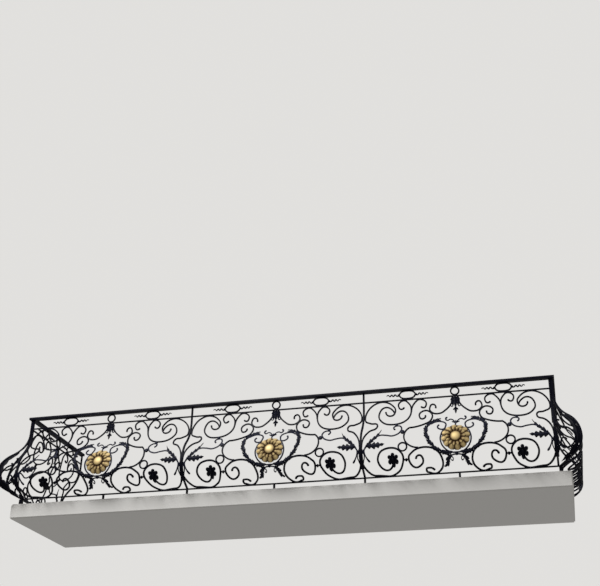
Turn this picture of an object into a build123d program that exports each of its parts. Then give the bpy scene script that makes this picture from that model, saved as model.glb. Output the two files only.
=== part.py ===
from build123d import *
import math
import os

# Driving sizes in millimetres
bay_width = 1900.0
bay_count = 3
return_depth = 1300.0
height = 1000.0

handrail_width = 60.0
handrail_height = 34.0
handrail_crown = 7.0

second_rail_drop = 132.0
rail_height = 12.0
rail_depth = 20.0
bottom_rail_top = 60.0

belly_reach = 220.0
belly_start_drop = 200.0
belly_peak = 275.0
belly_foot_radius = 165.0
belly_runs = 3

post_width = 20.0
post_depth = 20.0
corner_post_width = 22.0

bar_width = 13.0
foot_bar_width = 17.0
bar_depth = 15.0
leaf_depth = 10.0
run_sag = 2.0

foot_width = 20.0
foot_depth = 20.0
corner_foot_width = 36.0

oval_half_length = 92.0
oval_offset = 490.0
wave_bar_length = 125.0
wave_bar_width = 10.0
wave_swing = 7.0
wave_turns = 5

flower_radius = 144.0
flower_height = 352.0
flower_step = 10.0
flower_eye_radius = 58.0
flower_eye_rise = 18.0
flower_eye_taper = 40.0
outer_petals = 12
inner_petals = 14

rosette_radius = 58.0
rosette_petals = 6
small_ring_radius = 50.0
ring_sides = 14
collar_sides = 8
large_collar_radius = 23.0
small_collar_radius = 16.0

tail_width = 14.0
leg_width = 18.0
tendril_width = 9.0
thin_leaf_half_width = 15.0
thin_leaf_lobes = 4
broad_leaf_half_width = 30.0
broad_leaf_lobes = 5
garland_half_width = 24.0
garland_lobes = 9

sheaf_top = 310.0
sheaf_middle = 215.0
sheaf_low = 125.0
sheaf_half_width = 40.0

# Places worked out from the sizes above
half_bays = bay_width * bay_count / 2
corner_x = half_bays + post_width / 2 + corner_post_width / 2
half_corner = corner_post_width / 2
half_bar = bar_depth / 2
half_leaf = leaf_depth / 2
handrail_underside = height - handrail_height
second_rail_top = height - second_rail_drop
second_rail_underside = second_rail_top - rail_height
bottom_rail_underside = bottom_rail_top - rail_height
panel_height = second_rail_underside - bottom_rail_top
panel_middle = (second_rail_underside + bottom_rail_top) / 2
frieze_height = handrail_underside - second_rail_top
frieze_middle = (handrail_underside + second_rail_top) / 2
belly_start = height - belly_start_drop
bay_axes = [(index - (bay_count - 1) / 2) * bay_width for index in range(bay_count)]
bay_names = ["left", "middle", "right"]
post_spots = [axis + bay_width / 2 for axis in bay_axes[:-1]]

# The drawing of half a bay, from its axis to its post and from rail to rail
drawn_half_width = 941.0
drawn_low = 60.0
drawn_high = 848.0
drawn_return_axis = 300.0

swag = [(205, 735), (228, 781), (265, 738), (235, 683), (170, 670), (90, 718), (42, 778)]

inner_top_scroll = [(352, 768), (325, 752), (298, 788), (352, 845), (430, 795), (452, 720)]

great_scroll = [
    (527, 773), (555, 752), (585, 785), (535, 845), (470, 800), (455, 715), (505, 612),
    (620, 566), (740, 600), (790, 700), (720, 785), (645, 745), (628, 712),
]

shoulder_scroll = [
    (718, 735), (705, 697), (662, 682), (618, 740), (660, 812), (740, 845), (850, 817),
    (918, 740), (933, 680), (925, 635), (875, 604), (800, 578), (800, 535), (875, 478),
    (928, 390), (940, 310),
]

waist_scroll = [
    (310, 660), (335, 617), (372, 660), (315, 717), (245, 675), (252, 590), (330, 530),
    (462, 499),
]

waist_return = [(457, 502), (508, 430), (500, 335), (440, 278), (372, 262)]

inner_foot_scroll = [
    (238, 80), (280, 97), (320, 82), (285, 65), (200, 67), (147, 115), (157, 178),
    (215, 237), (320, 261), (420, 232), (475, 165), (445, 112), (385, 108), (335, 155),
    (367, 190), (404, 160),
]

outer_foot_scroll = [
    (941, 235), (938, 140), (880, 80), (780, 65), (640, 67), (560, 110), (528, 180),
    (570, 250), (670, 275), (765, 225), (778, 140), (710, 97), (636, 135),
]

branch_stem = [
    (603, 484), (622, 515), (580, 541), (541, 500), (555, 447), (620, 409), (705, 421),
    (752, 425), (830, 372), (905, 290), (938, 235),
]

branch_tail = [(893, 318), (914, 265), (900, 205), (864, 158)]

upper_leaf = [(905, 290), (842, 366), (794, 412), (745, 492)]

lower_leaf = [(900, 318), (830, 312), (770, 315), (708, 322)]

lyre_bar = [
    (0, 196), (75, 208), (122, 248), (151, 330), (135, 405), (103, 462), (100, 525),
    (160, 562), (245, 530),
]

lyre_curl = [(108, 452), (150, 448), (178, 482), (163, 510)]

lyre_leg = [(0, 178), (48, 173), (84, 150), (100, 118), (138, 100)]

garland = [
    (60, 203), (130, 213), (185, 238), (228, 280), (262, 335), (282, 390), (290, 440),
    (280, 500), (250, 555), (205, 590), (150, 602),
]

tendril = [(4, 478), (15, 552), (45, 582), (92, 574), (101, 598), (84, 614)]

foot_tie = [(470, 160), (500, 160), (532, 160)]
small_ring_spot = (528, 280)
rosette_spot = (632, 170)
waist_collar_spot = (528, 446)
branch_collar_spot = (600, 555)
lyre_collar_spot = (0, 186)

# The narrower curls that take the place of the lyre on a return
return_swag = [(42, 780), (66, 735), (105, 710), (158, 714)]

return_waist = [
    (92, 650), (110, 622), (130, 658), (92, 702), (42, 665), (34, 600), (80, 545), (150, 508),
]

return_waist_low = [(146, 511), (196, 440), (200, 345), (140, 282), (75, 264)]

return_foot_scroll = [
    (62, 80), (86, 97), (110, 80), (88, 66), (60, 69), (24, 115), (30, 180), (60, 240),
    (110, 262), (168, 232), (200, 165), (178, 112), (138, 106), (104, 142), (126, 180),
    (152, 160),
]

return_collar_spot = (0, 118)

# The scroll in the gap beside a corner post, from the axis of the end post outward
corner_line = [
    (50, 452), (22, 462), (10, 428), (48, 392), (138, 350), (184, 270), (148, 195),
    (80, 180), (46, 225), (72, 262), (100, 240),
]


def unit(vector):
    length = math.hypot(vector[0], vector[1])
    return (vector[0] / length, vector[1] / length)


def middle_tangent(before, here, after):
    """Direction at a point of the circle through it and its two neighbours."""
    a = (here[0] - before[0], here[1] - before[1])
    b = (after[0] - here[0], after[1] - here[1])
    a_square = a[0] ** 2 + a[1] ** 2
    b_square = b[0] ** 2 + b[1] ** 2
    return unit((a[0] / a_square + b[0] / b_square, a[1] / a_square + b[1] / b_square))


def mirrored_tangent(start, end, tangent):
    """Direction at the other end of the one arc from start to end."""
    chord = unit((end[0] - start[0], end[1] - start[1]))
    along = 2 * (chord[0] * tangent[0] + chord[1] * tangent[1])
    return unit((along * chord[0] - tangent[0], along * chord[1] - tangent[1]))


def tangents_along(points):
    inner = [
        middle_tangent(points[i - 1], points[i], points[i + 1])
        for i in range(1, len(points) - 1)
    ]
    first = mirrored_tangent(points[0], points[1], inner[0])
    last = mirrored_tangent(points[-2], points[-1], inner[-1])
    return [first, *inner, last]


def arc_joint(start, start_tangent, end, end_tangent):
    """Where two tangent arcs between two directed points meet, and its direction."""
    chord = (end[0] - start[0], end[1] - start[1])
    both = (start_tangent[0] + end_tangent[0], start_tangent[1] + end_tangent[1])
    chord_both = chord[0] * both[0] + chord[1] * both[1]
    chord_square = chord[0] ** 2 + chord[1] ** 2
    bend = 2 * (1 - start_tangent[0] * end_tangent[0] - start_tangent[1] * end_tangent[1])
    if bend < 1e-9:
        reach = chord_square / (2 * chord_both)
    else:
        reach = (math.sqrt(chord_both**2 + bend * chord_square) - chord_both) / bend
    low = (start[0] + reach * start_tangent[0], start[1] + reach * start_tangent[1])
    high = (end[0] - reach * end_tangent[0], end[1] - reach * end_tangent[1])
    joint = ((low[0] + high[0]) / 2, (low[1] + high[1]) / 2)
    return joint, unit((high[0] - low[0], high[1] - low[1]))


def arc_stations(start, tangent, end):
    """Points and directions in small steps along the arc that leaves start by tangent."""
    chord = (end[0] - start[0], end[1] - start[1])
    across = tangent[0] * chord[1] - tangent[1] * chord[0]
    along = tangent[0] * chord[0] + tangent[1] * chord[1]
    turn = 2 * math.atan2(across, along)
    steps = max(1, math.ceil(abs(turn) / math.radians(5)))
    stations = []
    for step in range(1, steps + 1):
        part = turn * step / steps
        reach = math.sin(part / 2) / math.sin(turn / 2) if turn else step / steps
        lean = (part - turn) / 2
        x = chord[0] * math.cos(lean) - chord[1] * math.sin(lean)
        z = chord[0] * math.sin(lean) + chord[1] * math.cos(lean)
        tangent_x = tangent[0] * math.cos(part) - tangent[1] * math.sin(part)
        tangent_z = tangent[0] * math.sin(part) + tangent[1] * math.cos(part)
        here = (start[0] + reach * x, start[1] + reach * z)
        stations.append((here, (tangent_x, tangent_z)))
    return stations


def bar_stations(points):
    """Points and directions along two tangent arcs between each point and the next."""
    tangents = tangents_along(points)
    stations = [(points[0], tangents[0])]
    for i in range(len(points) - 1):
        joint, direction = arc_joint(points[i], tangents[i], points[i + 1], tangents[i + 1])
        stations += arc_stations(points[i], tangents[i], joint)
        stations += arc_stations(joint, direction, points[i + 1])
    return stations


def distance_from_chord(start, end, point):
    chord = unit((end[0] - start[0], end[1] - start[1]))
    return abs((point[0] - start[0]) * chord[1] - (point[1] - start[1]) * chord[0])


def straight_runs(stations):
    """As few stations as leave each straight run within run_sag of the round line."""
    kept = [0]
    for i in range(2, len(stations)):
        start, end = stations[kept[-1]][0], stations[i][0]
        between = stations[kept[-1] + 1 : i]
        if max(distance_from_chord(start, end, point) for point, _ in between) > run_sag:
            kept.append(i - 1)
    return [stations[i] for i in [*kept, len(stations) - 1]]


def bar_face(points, width=bar_width):
    """Outline of a bar of one width, bent round through the points, with blunt ends."""
    stations = straight_runs(bar_stations(points))
    left, right = [], []
    for (x, z), (tx, tz) in stations:
        left.append((x - tz * width / 2, z + tx * width / 2))
        right.append((x + tz * width / 2, z - tx * width / 2))
    return make_face(Polyline(*left, *reversed(right), close=True))


def belly_line(offset, low_end, high_end):
    """Side view of the belly, moved outward by offset, from the top rail down."""
    drop = belly_start - belly_peak
    turn = 2 * math.atan(belly_reach / drop)
    radius = drop / (2 * math.sin(turn))
    foot_centre = (belly_foot_radius - belly_reach, belly_peak)
    to_rail = (-foot_centre[0], bottom_rail_top - belly_peak)
    foot_turn = math.atan2(-to_rail[1], -to_rail[0])
    foot_turn -= math.acos(belly_foot_radius / math.hypot(*to_rail))

    def bend(centre, reach, first_angle, last_angle):
        line = []
        for run in range(belly_runs + 1):
            angle = first_angle + (last_angle - first_angle) * run / belly_runs
            line.append((centre[0] - reach * math.cos(angle), centre[1] - reach * math.sin(angle)))
        return line

    shoulder = bend((-radius, belly_start), offset - radius, 0, -turn)
    bulge = bend((radius - belly_reach, belly_peak), radius + offset, -turn, 0)
    tuck = bend(foot_centre, belly_foot_radius + offset, 0, foot_turn)
    run = (tuck[-1][1] - low_end) / math.cos(foot_turn)
    end = (tuck[-1][0] + run * math.sin(foot_turn), low_end)
    return [(-offset, high_end), *shoulder, *bulge[1:], *tuck[1:], end]


def belly_band(inside_offset, outside_offset, start, end):
    """The space between two offsets of the belly, between two places along x."""
    outside = belly_line(outside_offset, bottom_rail_underside, height)
    inside = belly_line(inside_offset, bottom_rail_underside, height)
    section = Plane.YZ * make_face(Polyline(*outside, *reversed(inside), close=True))
    return Pos(start, 0, 0) * extrude(section, amount=end - start)


def on_belly(faces, inside_offset, outside_offset):
    """Flat shapes drawn in the front view, cut through a band of the belly."""
    box = faces.bounding_box()
    reach = belly_reach + abs(outside_offset) + abs(inside_offset)
    prism = extrude(Plane.XZ * faces, amount=reach, both=True)
    return prism & belly_band(inside_offset, outside_offset, box.min.X - 1, box.max.X + 1)


def petal_row(radius, petals, notch=0.86):
    """Outline of a row of round petals about the origin."""
    outline = []
    for index in range(petals):
        for share, reach in ((0.0, notch), (0.2, 0.97), (0.5, 1.0), (0.8, 0.97)):
            turn = 2 * math.pi * (index + share) / petals
            outline.append((radius * reach * math.cos(turn), radius * reach * math.sin(turn)))
    return make_face(Polyline(*outline, close=True))


def ring_face(radius):
    return RegularPolygon(radius, ring_sides) - RegularPolygon(radius - bar_width, ring_sides)


def sheaf_face():
    """The swollen sheaf that gathers the scrolls on a post, about the post's axis."""
    right = [
        (post_width / 2, sheaf_top),
        (sheaf_half_width * 0.6, sheaf_middle + 35),
        (sheaf_half_width, sheaf_middle),
        (sheaf_half_width * 0.62, sheaf_middle - 50),
        (post_width / 2, sheaf_low),
    ]
    left = [(-x, z) for x, z in reversed(right)]
    return make_face(Polyline(*right, *left, close=True))


def leaf_face(spine, half_width, lobes):
    """A lobed leaf along a spine, widest near its foot, with a point at its tip."""
    line = Spline(*spine)
    left, right = [], []
    for step in range(2 * lobes):
        share = step / (2 * lobes)
        notch = 1.0 if step % 2 else 0.6
        reach = half_width * notch * math.sin(math.pi * (0.2 + 0.75 * share))
        here = line @ share
        along = line % share
        left.append((here.X - along.Y * reach, here.Y + along.X * reach))
        right.append((here.X + along.Y * reach, here.Y - along.X * reach))
    tip = line @ 1
    return make_face(Polyline(*left, (tip.X, tip.Y), *reversed(right), close=True))


class Panel:
    """Half a panel, from its axis to its post, that takes points of the drawing."""

    def __init__(self, half_width, drawn_half, drawn_axis=0.0):
        self.half_width = half_width
        self.drawn_axis = drawn_axis
        self.stretch = half_width / (drawn_half - drawn_axis)
        self.rise = panel_height / (drawn_high - drawn_low)

    def spot(self, x, z):
        along = (x - self.drawn_axis) * self.stretch
        return (along, bottom_rail_top + (z - drawn_low) * self.rise)

    def spots(self, points):
        return [self.spot(x, z) for x, z in points]

    def bar(self, points, width=bar_width):
        return bar_face(self.spots(points), width)

    def leaf(self, spine, half_width, lobes):
        return leaf_face(self.spots(spine), half_width, lobes)

    def collar(self, place, radius):
        return Pos(*self.spot(*place)) * RegularPolygon(radius, collar_sides)

    def window(self):
        """The clear opening of the half panel, between its rails and up to its post."""
        opening = Rectangle(self.half_width, panel_height)
        opening = Pos(self.half_width / 2, panel_middle) * opening
        return opening - Pos(self.half_width + post_width / 2, 0) * sheaf_face()


def both_sides(face):
    return Sketch() + [face, mirror(face, about=Plane.YZ)]


def upper_scrolls(panel, *lines):
    return (Sketch() + [panel.bar(line) for line in lines]) & panel.window()


def outer_foot_pieces(panel):
    """The low scroll beside the post, its rosette, and what ties it to its neighbours."""
    scroll = panel.bar(outer_foot_scroll, foot_bar_width)
    tie = panel.bar(foot_tie)
    ring_radius = small_ring_radius * max(panel.stretch, panel.rise)
    ring = Pos(*panel.spot(*small_ring_spot)) * ring_face(ring_radius)
    rosette = Pos(*panel.spot(*rosette_spot)) * petal_row(rosette_radius, rosette_petals, 0.6)
    return [scroll, tie, ring, rosette]


def leaf_branch(panel):
    pieces = [
        panel.bar(branch_stem),
        panel.bar(branch_tail, tail_width),
        panel.leaf(upper_leaf, thin_leaf_half_width, thin_leaf_lobes),
        panel.leaf(lower_leaf, broad_leaf_half_width, broad_leaf_lobes),
        panel.collar(waist_collar_spot, large_collar_radius),
        panel.collar(branch_collar_spot, small_collar_radius),
    ]
    return (Sketch() + pieces) & panel.window()


def lyre(panel):
    """The two bars, legs, leaves and tendrils that frame the flower."""
    pieces = [
        panel.bar(lyre_bar),
        panel.bar(lyre_curl),
        panel.bar(lyre_leg, leg_width),
        panel.bar(tendril, tendril_width),
        panel.leaf(garland, garland_half_width, garland_lobes),
        panel.collar(lyre_collar_spot, small_collar_radius),
    ]
    return (Sketch() + pieces) & panel.window()


def flower(panel):
    """Two rows of petals and a raised eye, in steps off the belly."""
    low = -half_leaf
    middle = Pos(*panel.spot(0, flower_height))
    back_row = middle * petal_row(flower_radius, outer_petals)
    front_row = middle * petal_row(flower_radius * 0.74, inner_petals)
    petals = on_belly(back_row, low, flower_step) + on_belly(front_row, low, flower_step * 2)
    eye_outline = Plane.XZ * (middle * RegularPolygon(flower_eye_radius, outer_petals))
    eye = extrude(eye_outline, amount=flower_step + flower_eye_rise, taper=flower_eye_taper)
    return petals + Pos(0, -belly_reach - flower_step, 0) * eye


def leaf_drop(panel):
    """The cast leaf that hangs from the second rail at the axis of a panel."""
    side = [(46, drawn_high), (44, 800), (52, 765), (42, 735), (18, 745), (27, 705), (0, 655)]
    points = [*side, *[(-x, z) for x, z in reversed(side[:-1])]]
    outline = make_face(Polyline(*panel.spots(points), close=True))
    return on_belly(outline, -half_leaf, leaf_depth)


def frieze_ring():
    return Pos(0, frieze_middle) * ring_face(frieze_height / 2 + bar_width / 8)


def frieze_oval(x):
    """An oval between the rails, with a waved bar on each side."""
    half_height = frieze_height / 2 + bar_width / 8
    outer = Ellipse(oval_half_length, half_height)
    inner = Ellipse(oval_half_length - bar_width, half_height - bar_width)
    wave = [(oval_half_length - bar_width / 2, 0)]
    for step in range(1, wave_turns + 1):
        swing = wave_swing * (-1) ** step
        wave.append((oval_half_length + wave_bar_length * step / wave_turns, swing))
    arm = bar_face(wave, wave_bar_width) - outer
    oval = Sketch() + [outer - inner, arm, mirror(arm, about=Plane.YZ)]
    return Pos(x, frieze_middle) * oval


def frieze(pieces, half_length):
    clear = Pos(0, frieze_middle) * Rectangle(2 * half_length, frieze_height)
    cut = (Sketch() + pieces) & clear
    return extrude(Plane.XZ * cut, amount=half_bar, both=True)


def upright(x, low, high, width, depth):
    return Pos(x, 0, (low + high) / 2) * Box(width, depth, high - low)


def post(x):
    """A post between the bottom rail and the second rail, with its sheaf."""
    outline = Pos(0, panel_middle) * Rectangle(post_width, panel_height) + sheaf_face()
    return on_belly(Pos(x, 0) * outline, -post_depth / 2, post_depth / 2)


def post_head(x):
    return upright(x, second_rail_top, handrail_underside, post_width, post_depth)


def handrail_section():
    """Flat underside, upright edges and a low crown, looking along the rail."""
    side = handrail_width / 2
    shoulder = height - handrail_crown
    crown = ThreePointArc((-side, shoulder), (0, height), (side, shoulder))
    low_right = (side, handrail_underside)
    low_left = (-side, handrail_underside)
    return make_face([crown, Polyline((side, shoulder), low_right, low_left, (-side, shoulder))])


def rail_section(top):
    return Pos(0, top - rail_height / 2) * Rectangle(rail_depth, rail_height)


def mitre_zone():
    """The part of the front between the two mitre planes at its corners."""
    reach = belly_reach * 2
    outline = Polygon(
        (-corner_x - reach, -reach),
        (corner_x + reach, -reach),
        (corner_x - reach, reach),
        (-corner_x + reach, reach),
        align=None,
    )
    return extrude(outline, amount=height * 2, both=True)


def front_run(section):
    start = -corner_x - belly_reach
    long = Pos(start, 0, 0) * extrude(Plane.YZ * section, amount=-2 * start)
    return long & mitre_zone()


def return_frame(shape):
    """Turns a shape made as a front into the right return, from corner to wall."""
    return Pos(corner_x, 0, 0) * Rot(0, 0, 90) * shape


def return_run(section):
    long = extrude(Plane.YZ * section, amount=return_depth + belly_reach)
    return return_frame(Pos(-belly_reach, 0, 0) * long) - mitre_zone()


def write(name, *shapes):
    solids = [solid for shape in shapes for solid in shape.solids()]
    piece = solids[0] if len(solids) == 1 else Compound(children=solids)
    piece.label = name
    export_step(piece, f"parts/{name}.step")
    print(name, len(solids), round(sum(solid.volume for solid in solids)))


def write_pair(name, *shapes):
    """Writes a piece of the right side and its mirror image for the left."""
    write(f"right_{name}", *shapes)
    write(f"left_{name}", *[mirror(shape, about=Plane.YZ) for shape in shapes])


def make_bays():
    panel = Panel((bay_width - post_width) / 2, drawn_half_width)
    upper = upper_scrolls(panel, swag, inner_top_scroll, great_scroll, shoulder_scroll)
    lower_bars = [panel.bar(waist_scroll), panel.bar(waist_return)]
    lower_bars += [panel.bar(inner_foot_scroll, foot_bar_width), *outer_foot_pieces(panel)]
    lower = (Sketch() + lower_bars) & panel.window()
    lower -= upper
    branch = leaf_branch(panel) - upper - lower
    frame = on_belly(both_sides(lyre(panel)) - both_sides(lower), -half_leaf, half_leaf)
    drop = leaf_drop(panel)
    pieces = {
        "upper_scrolls": on_belly(both_sides(upper), -half_bar, half_bar) - drop,
        "lower_scrolls": on_belly(both_sides(lower), -half_bar, half_bar),
        "leaf_branches": on_belly(both_sides(branch), -half_leaf, half_leaf),
        "lyre_garland": frame,
        "leaf_drop": drop,
        "sunflower": flower(panel) - frame,
    }
    for name, piece in pieces.items():
        for side, axis in zip(bay_names, bay_axes):
            write(f"{side}_bay_{name}", Pos(axis, 0, 0) * piece)


def make_front():
    rings = [Pos(axis, 0) * frieze_ring() for axis in bay_axes]
    ovals = [frieze_oval(axis + side * oval_offset) for axis in bay_axes for side in (-1, 1)]
    write("front_frieze", frieze(rings + ovals, half_bays))
    for side, x in zip(("left", "right"), post_spots):
        write(f"{side}_front_post", post(x), post_head(x))
    write("front_handrail", front_run(handrail_section()))
    write("front_second_rail", front_run(rail_section(second_rail_top)))
    write("front_bottom_rail", front_run(rail_section(bottom_rail_top)))
    feet = [
        upright(x, 0, bottom_rail_underside, foot_width, foot_depth)
        for x in bay_axes + post_spots
    ]
    feet += [
        upright(x, 0, bottom_rail_underside, corner_foot_width, corner_foot_width)
        for x in (-corner_x, corner_x)
    ]
    write("front_feet", *feet)


def corner_bar():
    """The post on the mitre, which bellies out both ways at once."""
    front = belly_band(-half_corner, half_corner, half_bays, corner_x + 2 * belly_reach)
    side = belly_band(-half_corner, half_corner, -2 * belly_reach, 2 * half_corner)
    size = 4 * corner_x
    between_rails = Pos(0, 0, panel_middle) * Box(size, size, panel_height)
    return front & return_frame(side) & between_rails


def make_corners():
    bar = corner_bar()
    head = upright(
        corner_x, second_rail_top, handrail_underside, corner_post_width, corner_post_width
    )
    end_post = post(half_bays) - bar
    first_stile = return_frame(post(half_corner + post_width / 2)) - bar - end_post
    scroll = Pos(half_bays, 0) * bar_face(corner_line)
    front_scroll = on_belly(scroll, -half_bar, half_bar) & mitre_zone()
    front_scroll = front_scroll - bar - end_post
    side_scroll = mirror(front_scroll, about=Plane((corner_x, 0, 0), z_dir=(1, 1, 0)))
    write_pair("end_post", end_post, post_head(half_bays))
    write_pair("corner_post", bar, head)
    write_pair("corner_scrolls", front_scroll, side_scroll)
    return first_stile


def make_returns(first_stile):
    """The rails, panel, frieze and stiles of the returns, from the corners to the wall."""
    write_pair("return_handrail", return_run(handrail_section()))
    write_pair("return_second_rail", return_run(rail_section(second_rail_top)))
    write_pair("return_bottom_rail", return_run(rail_section(bottom_rail_top)))

    first = half_corner + post_width / 2
    last = return_depth - post_width / 2
    axis = (first + last) / 2
    half_width = (last - first - post_width) / 2
    outer = Panel(half_width, drawn_half_width, drawn_return_axis)
    whole = Panel(half_width, drawn_half_width - drawn_return_axis)

    upper = upper_scrolls(outer, great_scroll, shoulder_scroll)
    upper += upper_scrolls(whole, return_swag)
    lower_bars = [whole.bar(return_waist), whole.bar(return_waist_low)]
    lower_bars += [whole.bar(return_foot_scroll), whole.collar(return_collar_spot, large_collar_radius)]
    lower = Sketch() + lower_bars + outer_foot_pieces(outer)
    lower = (lower & whole.window()) - upper
    branch = leaf_branch(outer) - upper - lower
    pieces = {
        "return_upper_scrolls": on_belly(both_sides(upper), -half_bar, half_bar) + leaf_drop(whole),
        "return_lower_scrolls": on_belly(both_sides(lower), -half_bar, half_bar),
        "return_leaf_branches": on_belly(both_sides(branch), -half_leaf, half_leaf),
        "return_frieze": frieze(
            [frieze_ring(), frieze_oval(-half_width / 2), frieze_oval(half_width / 2)], half_width
        ),
    }
    for name, piece in pieces.items():
        write_pair(name, return_frame(Pos(axis, 0, 0) * piece))

    wall_side = Pos(last + post_width / 2, 0, 0) * Box(
        2 * sheaf_half_width, 4 * belly_reach, 2 * height, align=(Align.MIN, Align.CENTER, Align.CENTER)
    )
    stiles = [post(last) - wall_side, post_head(first), post_head(last)]
    feet = [
        upright(x, 0, bottom_rail_underside, foot_width, foot_depth) for x in (axis, last)
    ]
    write_pair("return_posts", first_stile, *[return_frame(shape) for shape in stiles + feet])


os.makedirs("parts", exist_ok=True)
make_bays()
make_front()
make_returns(make_corners())
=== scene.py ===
# %% [markdown]
# # A bellied iron balcony railing
# The railing closes the front and both ends of a balcony. Its front has three equal bays of
# scrolled bars that swell outward below the second rail, with a gilt sunflower in each bay.
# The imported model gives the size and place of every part, so this lesson only adds the forged,
# cast and painted look around it. Everything is in metres: X runs along the front, Y goes back
# to the wall and Z goes up.

# %% Load the fixed frame
import math

import bmesh
import bpy
import numpy as np
from mathutils import Matrix, Vector


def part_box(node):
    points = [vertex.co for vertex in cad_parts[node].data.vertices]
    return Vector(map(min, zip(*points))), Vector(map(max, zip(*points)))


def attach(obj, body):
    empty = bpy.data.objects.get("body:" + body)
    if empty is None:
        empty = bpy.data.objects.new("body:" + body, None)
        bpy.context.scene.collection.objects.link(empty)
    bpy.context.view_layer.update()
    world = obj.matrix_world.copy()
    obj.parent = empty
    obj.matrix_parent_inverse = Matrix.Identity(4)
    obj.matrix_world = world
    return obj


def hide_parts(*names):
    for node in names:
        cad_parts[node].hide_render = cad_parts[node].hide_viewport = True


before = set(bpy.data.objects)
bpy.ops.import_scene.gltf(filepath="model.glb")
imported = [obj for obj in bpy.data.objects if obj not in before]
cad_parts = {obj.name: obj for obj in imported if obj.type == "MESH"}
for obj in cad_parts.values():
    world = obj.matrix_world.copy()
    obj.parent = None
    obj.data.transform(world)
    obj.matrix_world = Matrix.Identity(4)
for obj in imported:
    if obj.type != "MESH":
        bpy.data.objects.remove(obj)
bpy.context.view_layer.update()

# %% [markdown]
# ## Sizes that the frame already knows
# A modelled piece has to sit exactly on the part that carries it. Typing its place again would
# soon go wrong, so the heights of the rails, the spacing of the posts and the reach of the belly
# are read from the boxes of the solid parts.

# %% Rails, posts and reach
panel_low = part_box("front_bottom_rail")[1].z
panel_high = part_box("front_second_rail")[0].z
frieze_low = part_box("front_second_rail")[1].z
frieze_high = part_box("front_handrail")[0].z
rail_depth = 2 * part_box("front_second_rail")[1].y
corner_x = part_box("front_second_rail")[1].x - rail_depth / 2
wall_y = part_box("right_return_handrail")[1].y
belly_reach = -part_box("right_front_post")[0].y - rail_depth / 2
post_width = 0.020
corner_post_width = 0.022
post_x = (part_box("right_front_post")[0].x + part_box("right_front_post")[1].x) / 2
bay_width = 2 * post_x
end_post_x = 1.5 * bay_width
bay_axes = {"left": -bay_width, "middle": 0.0, "right": bay_width}
print("bay", round(bay_width, 3), "belly", round(belly_reach, 3), "corner at", round(corner_x, 3))

# %% [markdown]
# ## The belly
# Seen from the side, the panel drops straight, swings out in two equal arcs to its fullest point
# and tucks back under in a third arc. A smith bends a finished flat panel to this line. The
# script does the same: pieces are drawn flat, and one function then lays them on the belly. That
# is simpler than bending each piece by itself, and what touches on the flat still touches after.

# %% The side line and the way onto it
belly_start = 0.800
belly_peak = 0.275
belly_foot_radius = 0.165
longest_reach_share = 0.9
belly_turn = 2 * math.atan(belly_reach / (belly_start - belly_peak))
belly_radius = (belly_start - belly_peak) / (2 * math.sin(belly_turn))
foot_centre = belly_reach - belly_foot_radius
foot_drop = belly_peak - panel_low
foot_turn = math.atan2(foot_drop, -foot_centre) - math.acos(
    belly_foot_radius / math.hypot(foot_centre, foot_drop)
)
foot_end_z = belly_peak - belly_foot_radius * math.sin(foot_turn)
foot_end_out = foot_centre + belly_foot_radius * math.cos(foot_turn)


def belly(z):
    """How far out the middle of the ironwork stands at height z, and its slope there."""
    z = np.asarray(z, float)
    from_start = np.clip(belly_start - z, 0, None)
    from_peak = np.clip(z - belly_peak, 0, None)
    under_peak = np.clip(belly_peak - z, 0, belly_peak - foot_end_z)
    half_way = (belly_start + belly_peak) / 2
    longest = belly_radius * longest_reach_share
    top_root = np.sqrt(belly_radius**2 - np.clip(from_start, 0, longest) ** 2)
    mid_root = np.sqrt(belly_radius**2 - np.clip(from_peak, 0, longest) ** 2)
    low_root = np.sqrt(belly_foot_radius**2 - under_peak**2)
    out = np.where(z > half_way, belly_radius - top_root, belly_reach - belly_radius + mid_root)
    slope = np.where(z > half_way, -from_start / top_root, -from_peak / mid_root)
    out = np.where(z < belly_peak, foot_centre + low_root, out)
    slope = np.where(z < belly_peak, under_peak / low_root, slope)
    line_slope = math.tan(foot_turn)
    out = np.where(z < foot_end_z, foot_end_out - (foot_end_z - z) * line_slope, out)
    slope = np.where(z < foot_end_z, line_slope, slope)
    return out, slope


def outward(z):
    """The unit direction that points straight off the ironwork at height z."""
    _, slope = belly(z)
    steep = np.sqrt(1 + slope**2)
    return np.stack([np.zeros_like(steep), -1 / steep, -slope / steep], axis=-1)


def lay(x, z, lift):
    """Takes flat places, lifted off the panel, onto the belly."""
    out, _ = belly(z)
    flat = np.stack([np.asarray(x, float), -out, np.asarray(z, float)], axis=-1)
    return flat + outward(z) * np.asarray(lift, float)[..., None]


probe_heights = (0.06, 0.2, belly_peak, 0.5, belly_start)
print("heights:", probe_heights, "out:", [round(float(belly(z)[0]), 3) for z in probe_heights])

# %% [markdown]
# ## One drawing for every bay
# The panels repeat one drawing of half a bay. Each bar is a short list of points, and two tangent
# arcs join each point to the next, as a smith bends a bar round one peg after another. A spline
# would also pass through the points, but it swells and flattens between them, and a scroll has
# to look evenly bent.

# %% Points and directions along a bent bar
ARC_STEP = math.radians(7)
LONGEST_STEP = 0.026
SAME_WAY = 1e-9
STRAIGHT_TURN = 1e-6


def unit(vector):
    """The same direction with length 1."""
    return np.asarray(vector, float) / np.linalg.norm(vector)


def tangents_along(points):
    """Directions at the points, each from the circle through a point and its neighbours."""
    middles = []
    for before, here, after in zip(points, points[1:], points[2:]):
        a, b = here - before, after - here
        middles.append(unit(a / a.dot(a) + b / b.dot(b)))
    first_chord, last_chord = unit(points[1] - points[0]), unit(points[-1] - points[-2])
    first = 2 * first_chord.dot(middles[0]) * first_chord - middles[0]
    last = 2 * last_chord.dot(middles[-1]) * last_chord - middles[-1]
    return [unit(first), *middles, unit(last)]


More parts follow.
